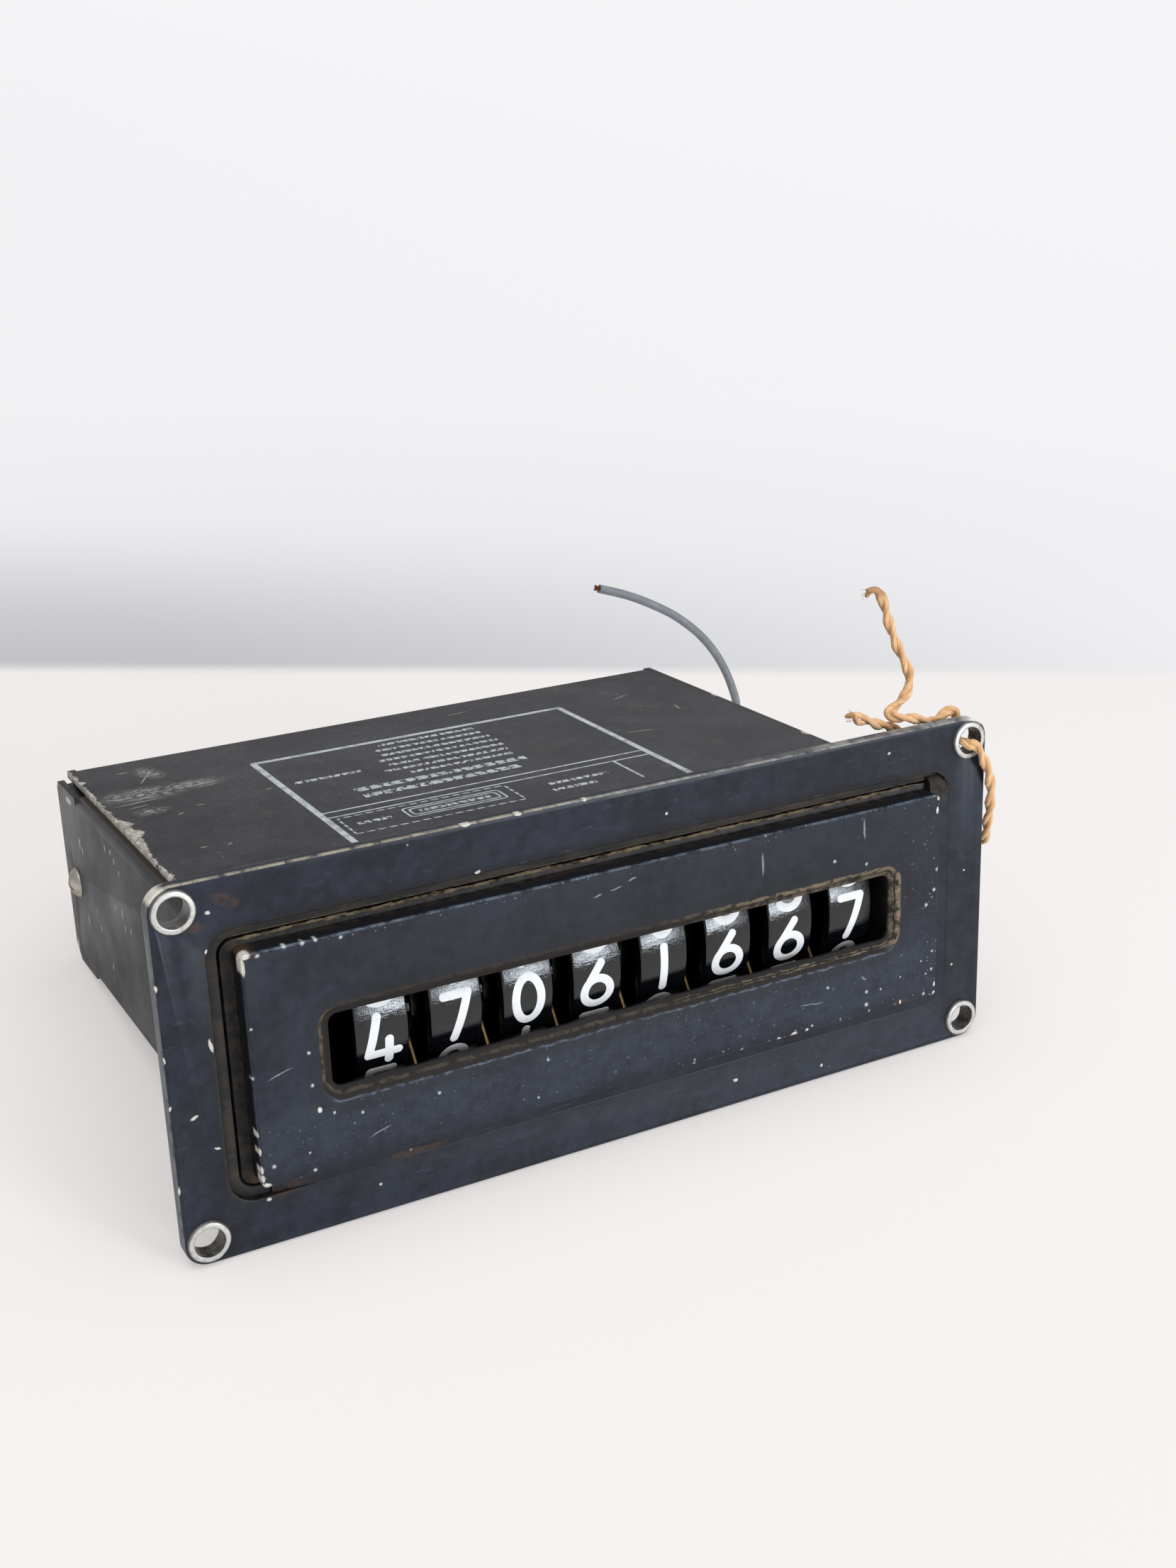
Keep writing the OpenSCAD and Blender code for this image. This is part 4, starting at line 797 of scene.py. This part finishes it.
def plateSkin(place):
    p = panel
    x, depth, z = axes(place)
    colour, rough, grain, fine = panelGround(place)
    loose = wander(place, 0.3, 1.1)
    edge = framed(x, z, (0, axisHeight), p["plateHalf"], 3.2)
    hole = framed(x, z, (0, axisHeight), p["openHalf"], 3.5)
    blot = noise(place, 0.5, 4, 0.7, (1, 0.4, 1), (8, 2, 5))
    # painted shade darkens the sheet towards the opening, most along its top and its left, where the
    # opening's edge is also painted dark as shade and crusted with dirt; along the rest it is painted over
    # grime marks the top and the left of the opening; it places painted shade as well as dirt
    grime = z.rise(38.0, 41.0).most(x.rise(-51.5, -53.5))
    # painted shade where the sheet sinks into the groove
    colour = mix(hole.rise(1.7, 0.1) * (grime * 0.45 + 0.2), colour, (15, 17, 21))
    crust = (hole + blot * 1.4).rise(1.4, 0.6) * blot.rise(0.42, 0.62) * grime
    colour = mix(crust * 0.45, colour, p["dirt"])
    # painted shade on the opening's edge, with dirt over it in patches
    inside = hole.rise(0.0, -0.12) * grime
    colour = mix(inside * 0.8, colour, (22, 19, 16))
    colour = mix(inside * blot.rise(0.42, 0.6) * 0.6, colour, p["dirt"])
    # the rim of the sheet is rubbed bright, most of all along the top, and its left side gets a painted sheen
    # of paler blue
    top, left = z.rise(49.8, 50.7), x.rise(-61.8, -62.6)
    side = edge.rise(-0.2, -0.05)
    patchy = noise(place, 0.22, 4, 0.7, (1, 1, 1), (4, 4, 1)).rise(0.34, 0.56)
    worn = side * (top * (0.3 + patchy * 0.6) + left * 0.3 + 0.06).least(1.0) * blot.rise(0.3, 0.56)
    worn = worn * depth.rise(0.9, 0.3).most(x.rise(15.0, 35.0) * 0.8)   # darker at the left rear
    corner = marks(loose, "front", p["plateCorners"], 0.4) * edge.rise(-0.45, -0.1)
    rubbed = mix(x.rise(10.0, -30.0), p["rubbed"], p["tan"])
    colour = mix(worn.least(0.9), colour, rubbed)
    # painted sheen: the sheet's left side is tinted a paler blue
    colour = mix(side * left * 0.3, colour, p["blue"])
    colour = mix(corner * blot.rise(0.25, 0.5), colour, p["primer"])
    rust = marks(loose, "front", p["plateRust"], 0.6) * blot.rise(0.3, 0.6)
    colour = mix(rust * 0.6, colour, p["rust"])
    chips = marks(loose, "front", p["plateChips"])
    small = flecks(place, 0.42, 0.1, 0.09, at=(3, 1, 2)) * fine.rise(0.45, 0.6)
    colour = mix((chips * 0.85).most(small * 0.4) * depth.rise(1.1, 0.7), colour, p["primer"])
    scuff = noise(place, 0.4, 4, 0.7, (0.5, 1, 3.0), (2, 2, 6)).rise(0.6, 0.78)
    colour = mix(scuff * 0.2, colour, p["blue"])
    rough = rough.most(rust * 0.7).most(worn * 0.55).most(inside * 0.7)
    return dict(colour=colour, rough=rough, specular=0.3,
                normal=bump(grain * 0.25 + fine * 0.35 - small * 0.6, 0.35, 0.08))


def bezelSkin(place):
    p = panel
    x, depth, z = axes(place)
    colour, rough, grain, fine = panelGround(place)
    loose = wander(place, 0.18, 1.5)
    raggedX, _, raggedZ = axes(wander(place, 0.3, 0.7, (4, 4, 4)))
    pan = framed(x, z, (0, axisHeight), p["panHalf"], 0.9)
    window = framed(raggedX, raggedZ, p["windowAt"], p["windowHalf"], 1.3)
    sharp = framed(x, z, p["windowAt"], p["windowHalf"], 1.3)
    blot = noise(place, 0.5, 4, 0.7, at=(1, 9, 5))
    dusty = noise(place, 0.8, 4, 0.65, at=(7, 1, 3))
    face = depth.rise(-1.9, -2.3)
    # below the window the paint is paler, and specks gather there and along the right edge
    below = z.rise(20.6, 17.5) * z.rise(9.9, 12.0)
    colour = mix(face * below * blend(fine.rise(0.3, 0.7), 0.12, 0.3), colour, (54, 61, 74))
    colour = mix(face * z.rise(30.5, 33.0) * x.rise(-46.0, -30.0) * 0.3, colour, (13, 14, 19))
    # the dished band round the window is dark, its sloping rim brown with a tan outer line
    colour = mix(window.rise(3.9, 3.0) * face * 0.45, colour, (20, 22, 27))
    slope = window.rise(1.75, 1.5) * sharp.rise(-0.05, 0.05)
    colour = mix(slope, colour, (31, 27, 24))
    right, upper = x.rise(2.0, 30.0), z.rise(21.0, 22.0)
    ends = abs(x - 1.1).rise(42.0, 44.3)
    share = (right * 0.7 + 0.22 - upper * 0.12).most(ends * (x.rise(0.0, 5.0) * 0.5 + 0.4))
    line = abs(window - blend(upper, 0.75, 1.35)).rise(0.34, 0.1) * share * dusty.rise(0.36, 0.6)
    colour = mix(line, colour, p["dust"])
    # painted highlight: a pale blue line along the polished outer edge of the rim below the window
    polishAndHighlight = abs(window - 1.85).rise(0.22, 0.06) * z.rise(19.4, 18.6) * fine.rise(0.4, 0.6)
    colour = mix(polishAndHighlight * 0.5, colour, p["blue"])
    spread = (ends * x.rise(0.0, 5.0) * 0.85).most(upper * right * 0.55) * dusty.rise(0.36, 0.58)
    colour = mix(slope * spread, colour, p["dust"])
    crack = abs(sharp - 0.75 - (fine - 0.5) * 0.6).rise(0.13, 0.04) * x.rise(4.0, 10.0)
    colour = mix(crack * slope, colour, (13, 12, 11))
    colour = mix(sharp.rise(-0.05, -0.2) * 0.95, colour, p["black"])
    # the sides of the raised panel are painted dark as shade, most along the top and the left, with dust
    # creeping up from the foot
    foot = depth.rise(-2.1, -1.5)
    # grime marks the top and the left; it places painted shade as well as dust
    grime = z.rise(38.0, 41.0).most(x.rise(-51.5, -52.6))
    colour = mix(foot * (grime * 0.65 + 0.1), colour, p["black"])
    colour = mix(depth.rise(-1.0, 0.6) * blot.rise(0.42, 0.62) * grime * 0.6, colour, p["dirt"])
    # its front edge is polished, and painted with a pale blue highlight, most at the top
    edge = pan.rise(-0.45, -0.1) * depth.rise(-1.9, -2.15)
    rubbed = edge * blot.rise(0.36, 0.6) * (z.rise(40.0, 41.0) * 0.45 + 0.1)
    colour = mix(rubbed.least(0.9), colour, p["blue"])
    rust = marks(loose, "front", p["panRust"], 0.5)
    colour = mix(rust * 0.6, colour, p["rust"])
    chips = marks(loose, "front", p["panChips"]) * depth.rise(-0.6, -1.2)
    scuffs = marks(loose, "front", p["panScuffs"], 0.35) * face
    rim = abs(x - 51.6).rise(1.9, 0.9).most(z.rise(11.4, 10.2) * x.rise(-8.0, 16.0)).most(
        z.rise(39.6, 40.7) * x.rise(-52.0, -30.0).most(x.rise(8.0, 26.0)) * 0.8)
    crowd = (rim * 0.95).most(below * 0.3).most(x.rise(42.0, 51.0) * 0.3) * face
    small = flecks(loose, 0.8, 0.18, 0.48, at=(2, 2, 9)) * crowd * fine.rise(0.42, 0.56)
    tiny = flecks(loose, 1.6, 0.21, 0.5, at=(5, 2, 1)) * crowd * fine.rise(0.6, 0.44)
    specks = marks(loose, "front", p["panSpecks"], 0.6) * depth.rise(-1.2, -1.7)
    grey = (scuffs * 0.5).most(specks * 0.9).most(small * 0.75).most(tiny * 0.6)
    colour = mix(grey, colour, p["grey"])
    colour = mix(chips.most(specks.rise(0.8, 1.0) * 0.5), colour, p["primer"])
    rough = rough.most(slope * 0.75).most(rust * 0.8).most(foot * 0.5)
    height = grain * 0.25 + fine * 0.35 + slope * dusty * 0.6
    return dict(colour=colour, rough=rough, specular=0.3, normal=bump(height, 0.35, 0.08))


def gasketSkin(place):
    x, _, z = axes(place)
    pan = framed(x, z, (0, axisHeight), panel["panHalf"], 0.9)
    blot = noise(place, 0.45, 4, 0.7, (0.35, 1, 1), (6, 2, 2))
    dusty = noise(place, 1.6, 3, 0.7, (0.4, 1, 1))
    top, left = z.rise(41.0, 42.0), x.rise(-52.5, -54.0)
    colour = mix(blot.rise(0.34, 0.66) * (top * 0.8).most(left * 0.55), (19, 18, 18), (64, 53, 42))
    line = pan.rise(0.5, 0.75) * (pan + (blot - 0.5) * 0.8).rise(1.5, 1.0)   # dust along its inner edge
    colour = mix(line * dusty.rise(0.36, 0.58) * (top * 0.85).most(left * 0.4), colour, (134, 116, 90))
    return dict(colour=colour, rough=0.72, normal=bump(dusty, 0.3, 0.06))


# Below and right of the raised panel the groove is closed flush with hard sealant, painted over
sealant = {
    "wall": (52.62, 15.72), "lip": (56.12, 18.42), "corner": 3.45, "sunk": 0.95, "face": -0.03,
    "start": -50.6, "end": 48,   # it ends this many degrees round the upper right corner
}


def makeSealant():
    e = sealant
    c, (wide, tall) = e["corner"], e["lip"]
    foot, top = axisHeight - tall, axisHeight + tall

    def corner(z, angles):
        return [(wide - c + c * math.cos(a), z + c * math.sin(a)) for a in angles]

    outer = [(x, foot) for x in np.linspace(e["start"], wide - c, 120)]
    outer += corner(foot + c, np.linspace(-np.pi / 2, 0, 12)[1:-1])
    outer += [(wide, z) for z in np.linspace(foot + c, top - c, 50)]
    outer += corner(top - c, np.linspace(0, math.radians(e["end"]), 14)[1:])
    outer = np.array(outer)
    lowest = axisHeight - e["wall"][1]
    inner = np.stack([np.minimum(outer[:, 0], e["wall"][0]), np.maximum(outer[:, 1], lowest)], 1)
    n = len(outer)
    s = np.linspace(0, 1, n)
    first, last = np.clip((0.05 - s) / 0.05, 0, 1), np.clip((s - 0.93) / 0.07, 0, 1)
    sink = 0.75 * (first ** 2 + last ** 2)   # both ends run out
    ripple = 0.03 * np.sin(s * 61) + 0.02 * np.sin(s * 143 + 1)
    across = [(0.0, -0.22), (0.12, -0.1), (0.35, 0.0), (0.7, 0.0), (0.93, 0.0), (1.0, 0.02)]
    rings = []
    for share, lift in across:
        flat = inner + (outer - inner) * share
        depth = e["face"] + lift + sink + ripple * share * (1 - share)
        rings.append(np.column_stack([flat[:, 0], depth, flat[:, 1]]))
    for side in (outer, inner):
        rings.append(np.column_stack([side[:, 0], np.full(n, e["sunk"]), side[:, 1]]))
    m = len(rings)
    made = makeObject("grooveSealant", toRow(np.stack(rings, 1).reshape(-1, 3)),
                      gridFaces(n, m, False, True) + caps(n, m), bpy.data.materials["panelPaint"], sharp=40)


def dustSkin(place):
    clod = noise(place, 1.1, 4, 0.7, (0.4, 1, 1))
    return dict(colour=mix(clod.rise(0.36, 0.62), (46, 40, 34), (122, 108, 88)), rough=0.95, specular=0.1,
                normal=bump(clod, 0.6, 0.08))


def makeDust():   # dust caked over the seam in the groove above the raised panel
    x, seam = np.linspace(-52.4, 51.6, 420), 1.03
    thick = 0.25 + 0.06 * np.sin(x * 0.7) * np.sin(x * 0.23 + 1)
    thick += 0.04 * np.sin(x * 3.1) + 0.03 * np.sin(x * 5.3)
    thick *= np.clip((x + 52.6) / 2, 0.2, 1) * np.clip((51.8 - x) / 3, 0.2, 1)
    path = np.stack([x, seam + 0 * x, 42.0 + 0.05 * np.sin(x * 0.41) + 0.03 * np.sin(x * 1.9)], 1)
    points, faces = tubeShell(path, thick, 10)
    points = points - [0, 0.45, 0] * (points[:, 1:2] - seam)   # flatter than it is wide
    made = makeObject("grooveDust", toRow(points), faces, makeSkin("cakedDust", dustSkin), sharp=60)


dress("front_plate", makeSkin("panelPaint", plateSkin), 0.16, 3)
dress("bezel", makeSkin("bezelPaint", bezelSkin), 0.08)
dress("bezel_gasket", makeSkin("gasketRubber", gasketSkin), 0.08)
makeSealant()
makeDust()
print("front painted")


# Case: folded tray and top cover
case = {
    "tray": (44, 44, 48), "trayPaintedShade": (34, 35, 38), "cover": (43, 42, 46), "coverPale": (61, 60, 65),
    "bare": (206, 201, 191), "dirt": (92, 74, 54), "print": (204, 212, 217), "rust": (112, 72, 46),
    "trayNicks": [
        (69.8, 33.7, 0.22, 0.9), (68.5, 32.9, 0.16, 0.6), (53.8, 37.8, 0.16, 0.6), (50.8, 38.2, 0.2, 0.45),
        (49.2, 37.3, 0.14, 0.5), (43.2, 40.6, 0.3, 0.3), (69.8, 21.2, 0.16, 0.8), (62, 22.4, 0.14, 0.5),
        (47.8, 29.6, 0.16, 0.7), (46.7, 27.8, 0.14, 0.5), (43.8, 28.3, 0.12, 0.45), (51.6, 29.4, 0.14, 0.4),
        (63.5, 24.8, 0.12, 0.5), (46.9, 36.2, 0.14, 0.4), (33.1, 33.0, 0.14, 0.5), (22.6, 25.2, 0.12, 0.6),
        (57.4, 17.9, 0.14, 0.5), (36.2, 19.4, 0.13, 0.4)],
    "trayEdge": [
        (74.0, 39.4, 1.6, 0.5, -4), (80.6, 40.7, 0.6, 0.8), (79.8, 13.6, 0.5, 0.8)],
    "rules": [((0, 38.0), (26.6, 0.22)), ((0, 35.7), (26.6, 0.2)), ((20.0, 31.0), (0.2, 4.6))],
    "boxes": [(-16.4, -0.8, 29.3, 33.6), (-15.6, -1.6, 30.0, 32.9)],
    "rows": [
        ((-4.4, 45.2), (14.2, 0.8), 1.9), ((-5.6, 42.0), (12.8, 0.8), 1.9), ((0.6, 48.6), (8.6, 0.5), 1.25),
        ((-0.8, 51.2), (10.4, 0.5), 1.25), ((0.4, 53.8), (9.8, 0.5), 1.3), ((-19.6, 53.6), (5.4, 0.5), 1.2),
        ((0.2, 56.4), (10.2, 0.5), 1.25), ((0.8, 59.0), (9.4, 0.5), 1.3), ((0.6, 61.6), (9.2, 0.5), 1.25),
        ((1.4, 64.2), (8.4, 0.5), 1.3), ((-8.6, 31.4), (5.6, 0.5), 1.2), ((-21.2, 31.2), (2.6, 0.5), 1.2),
        ((11.6, 31.4), (5.0, 0.5), 1.2), ((9.6, 28.6), (3.6, 0.5), 1.2), ((3.6, 23.6), (8.0, 0.5), 1.25)],
    "coverPatch": [
        (-51.3, 45.4, 1.0, 1.2), (-51.6, 50.0, 0.7, 0.9), (-52.4, 72.2, 0.7, 0.8), (52.4, 31.0, 0.5, 1.2),
        (52.4, 58.0, 0.4, 1.0)],
    "coverScuffs": [
        (-45.6, 62.0, 5.6, 2.4, -3), (-38.2, 62.4, 3.6, 1.7, -3), (-42.0, 71.5, 1.4, 2.4, 12),
        (-47.0, 53.4, 2.0, 1.2, 0)],
    "coverScratches": [
        (-47.5, 58.4, 3.4, 0.12, 4), (-46.4, 59.9, 2.2, 0.1, 2), (-48.0, 56.4, 1.6, 0.1, 8),
        (-49.2, 61.4, 1.8, 0.12, -3), (-37.0, 61.6, 2.8, 0.12, 3), (-38.2, 62.8, 1.5, 0.1, -2),
        (-36.1, 60.5, 1.3, 0.09, 6), (-45.6, 73.8, 0.9, 0.14, 0), (-43.6, 68.9, 1.9, 0.11, 62),
        (-42.1, 71.5, 1.3, 0.1, 70), (-43.6, 50.0, 0.5, 0.14, 20), (-40.0, 52.2, 0.6, 0.12, -10),
        (-45.2, 34.3, 0.5, 0.14, 0), (-41.7, 33.6, 0.4, 0.12, 30), (-29.0, 53.5, 0.6, 0.12, 10),
        (-32.5, 79.6, 0.9, 0.3, 0), (-44.0, 80.3, 0.7, 0.2, 0), (31.5, 47.0, 2.4, 0.1, -12),
        (38.6, 66.2, 1.8, 0.1, 24), (11.2, 73.5, 2.0, 0.09, 5), (43.5, 55.4, 1.2, 0.12, 80)],
}


def steelGround(place, base, dark):
    wide = noise(place, 0.09, 4, 0.6, at=(5, 5, 0))
    fine = noise(place, 0.7, 4, 0.7, at=(0, 3, 7))
    pit = noise(place, 3.4, 3, 0.75, at=(9, 1, 1))
    colour = mix((wide * 0.55 + fine * 0.45).rise(0.36, 0.66), base, dark)
    return colour, wide, fine, pit


def traySkin(place):
    c = case
    x, depth, z = axes(place)
    colour, wide, fine, pit = steelGround(place, c["tray"], (56, 57, 60))
    loose = wander(place, 0.12, 1.5)
    # painted shade on the left wall: it is palest near its top front and darkens to the rear and the bottom
    shade = (depth / 80.0 * 0.6 + (41.0 - z) / 30.0 * 0.5).rise(0.25, 0.95)
    colour = mix(shade * 0.55, colour, c["trayPaintedShade"])
    colour = mix(pit.rise(0.56, 0.7) * 0.15, colour, (98, 98, 98))
    dust = flecks(loose, 1.1, 0.18, 0.3, (3, 8, 1)).most(flecks(loose, 1.9, 0.24, 0.35, (6, 1, 1)) * 0.7)
    colour = mix(dust * wide.rise(0.4, 0.6) * 0.4, colour, (148, 146, 142))
    channel = z.rise(39.9, 40.9) * abs(x).rise(53.6, 53.1)
    colour = mix(channel * blend(fine.rise(0.3, 0.6), 0.55, 0.95), colour, (58, 44, 32))
    low = z.rise(13.4, 11.0) * noise(place, 0.35, 4, 0.7, at=(2, 8, 8)).rise(0.5, 0.66)
    colour = mix(low * 0.6, colour, c["rust"])
    outer = abs(x).rise(54.1, 54.2)
    nicks = marks(loose, "side", c["trayNicks"]) * outer
    worn = marks(loose, "side", c["trayEdge"], 0.4)
    streak = noise(place, 1.5, 3, 0.7, (1, 1.6, 0.16), (4, 4, 4)).rise(0.66, 0.76) * outer
    colour = mix(streak * 0.25, colour, (150, 148, 142))
    colour = mix(nicks.most(worn * 0.85), colour, c["bare"])
    return dict(colour=colour, specular=0.32,
                rough=blend(wide.rise(0.35, 0.7), 0.4, 0.56).most(channel * 0.8),
                normal=bump(fine * 0.5 + pit * 0.4 - nicks, 0.3, 0.07))


def coverSkin(place):
    c = case
    x, depth, z = axes(place)
    colour, wide, fine, pit = steelGround(place, c["cover"], c["coverPale"])
    loose = wander(place, 0.75, 0.75)
    near = wander(place, 0.1, 1.2)
    top = z.rise(41.9, 42.1)
    colour = mix(pit.rise(0.54, 0.68) * 0.35, colour, (34, 34, 35))
    colour = mix(pit.rise(0.4, 0.3) * 0.2, colour, (104, 103, 100))
    # a printed frame, with plain rules and dashes inside it
    ink = printed(x, depth, noise(place, 0.8, 2, 0.6, at=(4, 4, 4))) * top
    ink = ink * blend(fine.rise(0.66, 0.45), 0.5, 1.0)
    colour = mix(ink * 0.92, colour, c["print"])
    # bare metal and old primer along the left edge, and scuffs beside it
    ragged = noise(place, 0.5, 4, 0.7, at=(7, 0, 3))
    reach = abs(depth - 45.0).rise(12.0, 2.0) * 0.9 + 0.35 - (x + 52.6) + (ragged - 0.5) * 2.6
    strip = reach.rise(0.0, 0.2) * x.rise(-48.0, -49.0)
    bare = strip.most(marks(loose, "top", c["coverPatch"], 0.2)) * z.rise(41.0, 41.6)
    bare = bare * pit.rise(0.36, 0.46)
    rubs = noise(place, 1.7, 4, 0.75, (0.5, 1.5, 1), (1, 5, 2)).rise(0.47, 0.56)
    scuffs = marks(loose, "top", c["coverScuffs"], 0.8) * rubs * top
    dusty = noise(place, 0.18, 4, 0.7, (1, 1, 1), (2, 9, 0)).rise(0.56, 0.74) * pit.rise(0.4, 0.6) * top
    colour = mix(dusty * 0.3, colour, (126, 122, 114))
    dust = flecks(near, 1.1, 0.2, 0.4, at=(3, 8, 1)).most(flecks(near, 2.1, 0.26, 0.4, at=(6, 1, 1)) * 0.7)
    share = blend(x.rise(20.0, -30.0) * top, 0.1, 0.45)
    colour = mix(dust * share * wide.rise(0.4, 0.6), colour, (150, 148, 144))
    scratches = marks(near, "top", c["coverScratches"], 0.4) * top
    colour = mix((scratches * 0.8).most(scuffs * 0.8), colour, (180, 177, 170))
    back = depth.rise(79.4, 80.2) * z.rise(40.6, 41.6) * ragged.rise(0.5, 0.62)
    metal = mix(fine.rise(0.4, 0.6), (156, 150, 140), c["bare"])
    colour = mix(bare.most(back * 0.7), colour, metal)
    return dict(colour=colour, rough=blend(pit, 0.42, 0.66),
                normal=bump(pit * 0.7 + fine * 0.3 - bare * 0.8 - scratches * 0.4, 0.4, 0.08))


def bar(u, v, at, half):   # 1 inside a plain rectangle
    return (half[0] - abs(u - at[0])).least(half[1] - abs(v - at[1])).rise(-0.06, 0.06)


def dashes(u, v, at, half, step, uneven):   # a row of short dashes of uneven lengths
    along = (u - at[0]) / step + uneven
    return bar(u, v, at, half) * along.part().rise(0.72, 0.62)


def border(u, v, limits, corner, width):   # the border of a round-cornered rectangle given by its limits
    u0, u1, v0, v1 = limits
    edge = framed(u, v, ((u0 + u1) / 2, (v0 + v1) / 2), ((u1 - u0) / 2, (v1 - v0) / 2), corner)
    return abs(edge + width / 2).rise(width / 2 + 0.05, width / 2 - 0.05)


def printed(x, depth, uneven):
    ink = border(x, depth, (-27.5, 27.3, 17.0, 67.0), 0.6, 1.0)
    for at, half in case["rules"]:
        ink = ink.most(bar(x, depth, at, half))
    for limits in case["boxes"]:
        ink = ink.most(border(x, depth, limits, 0.8, 0.3))
    dashed = border(x, depth, (-25.7, 1.0, 27.2, 34.9), 0.6, 0.32)
    ink = ink.most(dashed * ((x + depth) / 1.7).part().rise(0.72, 0.62))
    for at, half, step in case["rows"]:
        ink = ink.most(dashes(x, depth, at, half, step, uneven * 2.2))
    return ink


dress("chassis_tray", makeSkin("trayPaint", traySkin), 0.1)
dress("top_cover", makeSkin("coverPaint", coverSkin), 0.1)
print("case painted")


# Table and light
table = {
    "rise": 0.142857,   # the table's slope in the row's frame
    "middle": -38.1,   # it passes through height 0 here
    "pale": (246, 242, 240), "shadeLeft": (198, 198, 203), "shadeRight": (244, 244, 245),
    "farLeft": (239, 239, 241), "farRight": (245, 245, 247),
    "line": (79.6, 113.7), "across": (0.4146, 0.9100), "half": 4500,
}


def tableSkin():   # far from the counter the colour shows as it is, whatever light falls there
    material, shader, place = startMaterial("table")
    x, depth, _ = axes(place)
    t = table
    past = (x - t["line"][0]) * t["across"][0] + (depth + faceY - t["line"][1]) * t["across"][1]
    # painted shade beyond the table's back edge: darkest at the edge and at the left, fading to the far
    # colour, which is itself a little darker at the left
    far = mix(x.rise(-500.0, 900.0), t["farLeft"], t["farRight"])
    shade = mix(x.rise(-20.0, 260.0), t["shadeLeft"], t["shadeRight"])
    cool = mix(past.rise(-10.0, 115.0), shade, far)
    colour = mix(past.rise(-5.0, 3.0), t["pale"], cool)
    finishSurface(shader, colour=colour, rough=0.75, specular=0.15)
    reach = vector("DISTANCE", place, (0, 10, 20), out="Value")
    rays = [place.node("ShaderNodeLightPath", {}, {}, out=kind)
            for kind in ("Is Camera Ray", "Is Glossy Ray", "Is Transmission Ray")]
    plain = place.node("ShaderNodeEmission", {}, {"Color": colour, "Strength": 1.0})
    clear = reach.rise(190.0, 420.0).most(depth.rise(3.0, -22.0) * 0.6)
    seen = rays[0].most(rays[1]).most(rays[2]) * blend(clear, 0.42, 1.0)
    lit = Sock(place.tree, shader.outputs[0])
    surface = place.node("ShaderNodeMixShader", {}, {0: seen, 1: lit, 2: plain})
    feed(place.tree.nodes["Material Output"].inputs["Surface"], surface)
    return material


def makeTable():
    t = table
    v = np.linspace(-t["half"], t["half"], 8)
    x, y = np.meshgrid(v, v, indexing="ij")
    points = np.stack([x, y, (y - t["middle"]) * t["rise"]], -1).reshape(-1, 3) * mm
    faces = [face[::-1] for face in gridFaces(8, 8)]
    board = makeObject("table", points, faces, tableSkin(), body=None, smooth=False)


def makeLamp(name, place, target, size, power, colour=(1, 1, 1)):   # a soft lamp; places in millimetres
    data = bpy.data.lights.new(name, "AREA")
    data.shape, data.size, data.size_y = "RECTANGLE", size[0] * mm, size[1] * mm
    data.energy, data.color = power, colour
    lamp = bpy.data.objects.new(name, data)
    bpy.context.collection.objects.link(lamp)
    aim = (Vector(target) - Vector(place)).to_track_quat("-Z", "Y").to_matrix().to_4x4()
    lamp.matrix_world = Matrix.Translation(Vector(place) * mm) @ aim


makeTable()
makeLamp("topLamp", (-100, -320, 1110), (0, 0, 20), (1500, 1500), 10.0)
makeLamp("frontSoftbox", (370, -850, 262), (0, -27, 25), (330, 250), 1.8)
makeLamp("lowWindow", (345, -850, 33), (0, -27, 25), (240, 155), 2.8, (0.84, 0.92, 1.0))
world = bpy.data.worlds.new("softSky")
bpy.context.scene.world = world
world.use_nodes = True
sky = world.node_tree.nodes["Background"]
sky.inputs["Color"].default_value = (0.97, 0.985, 1.0, 1)
looked = Sock(world.node_tree).node("ShaderNodeLightPath", {}, {}, out="Is Camera Ray")
feed(sky.inputs["Strength"], blend(looked, 0.4, 0.86))   # pale where it is looked at
print("table and lights made")
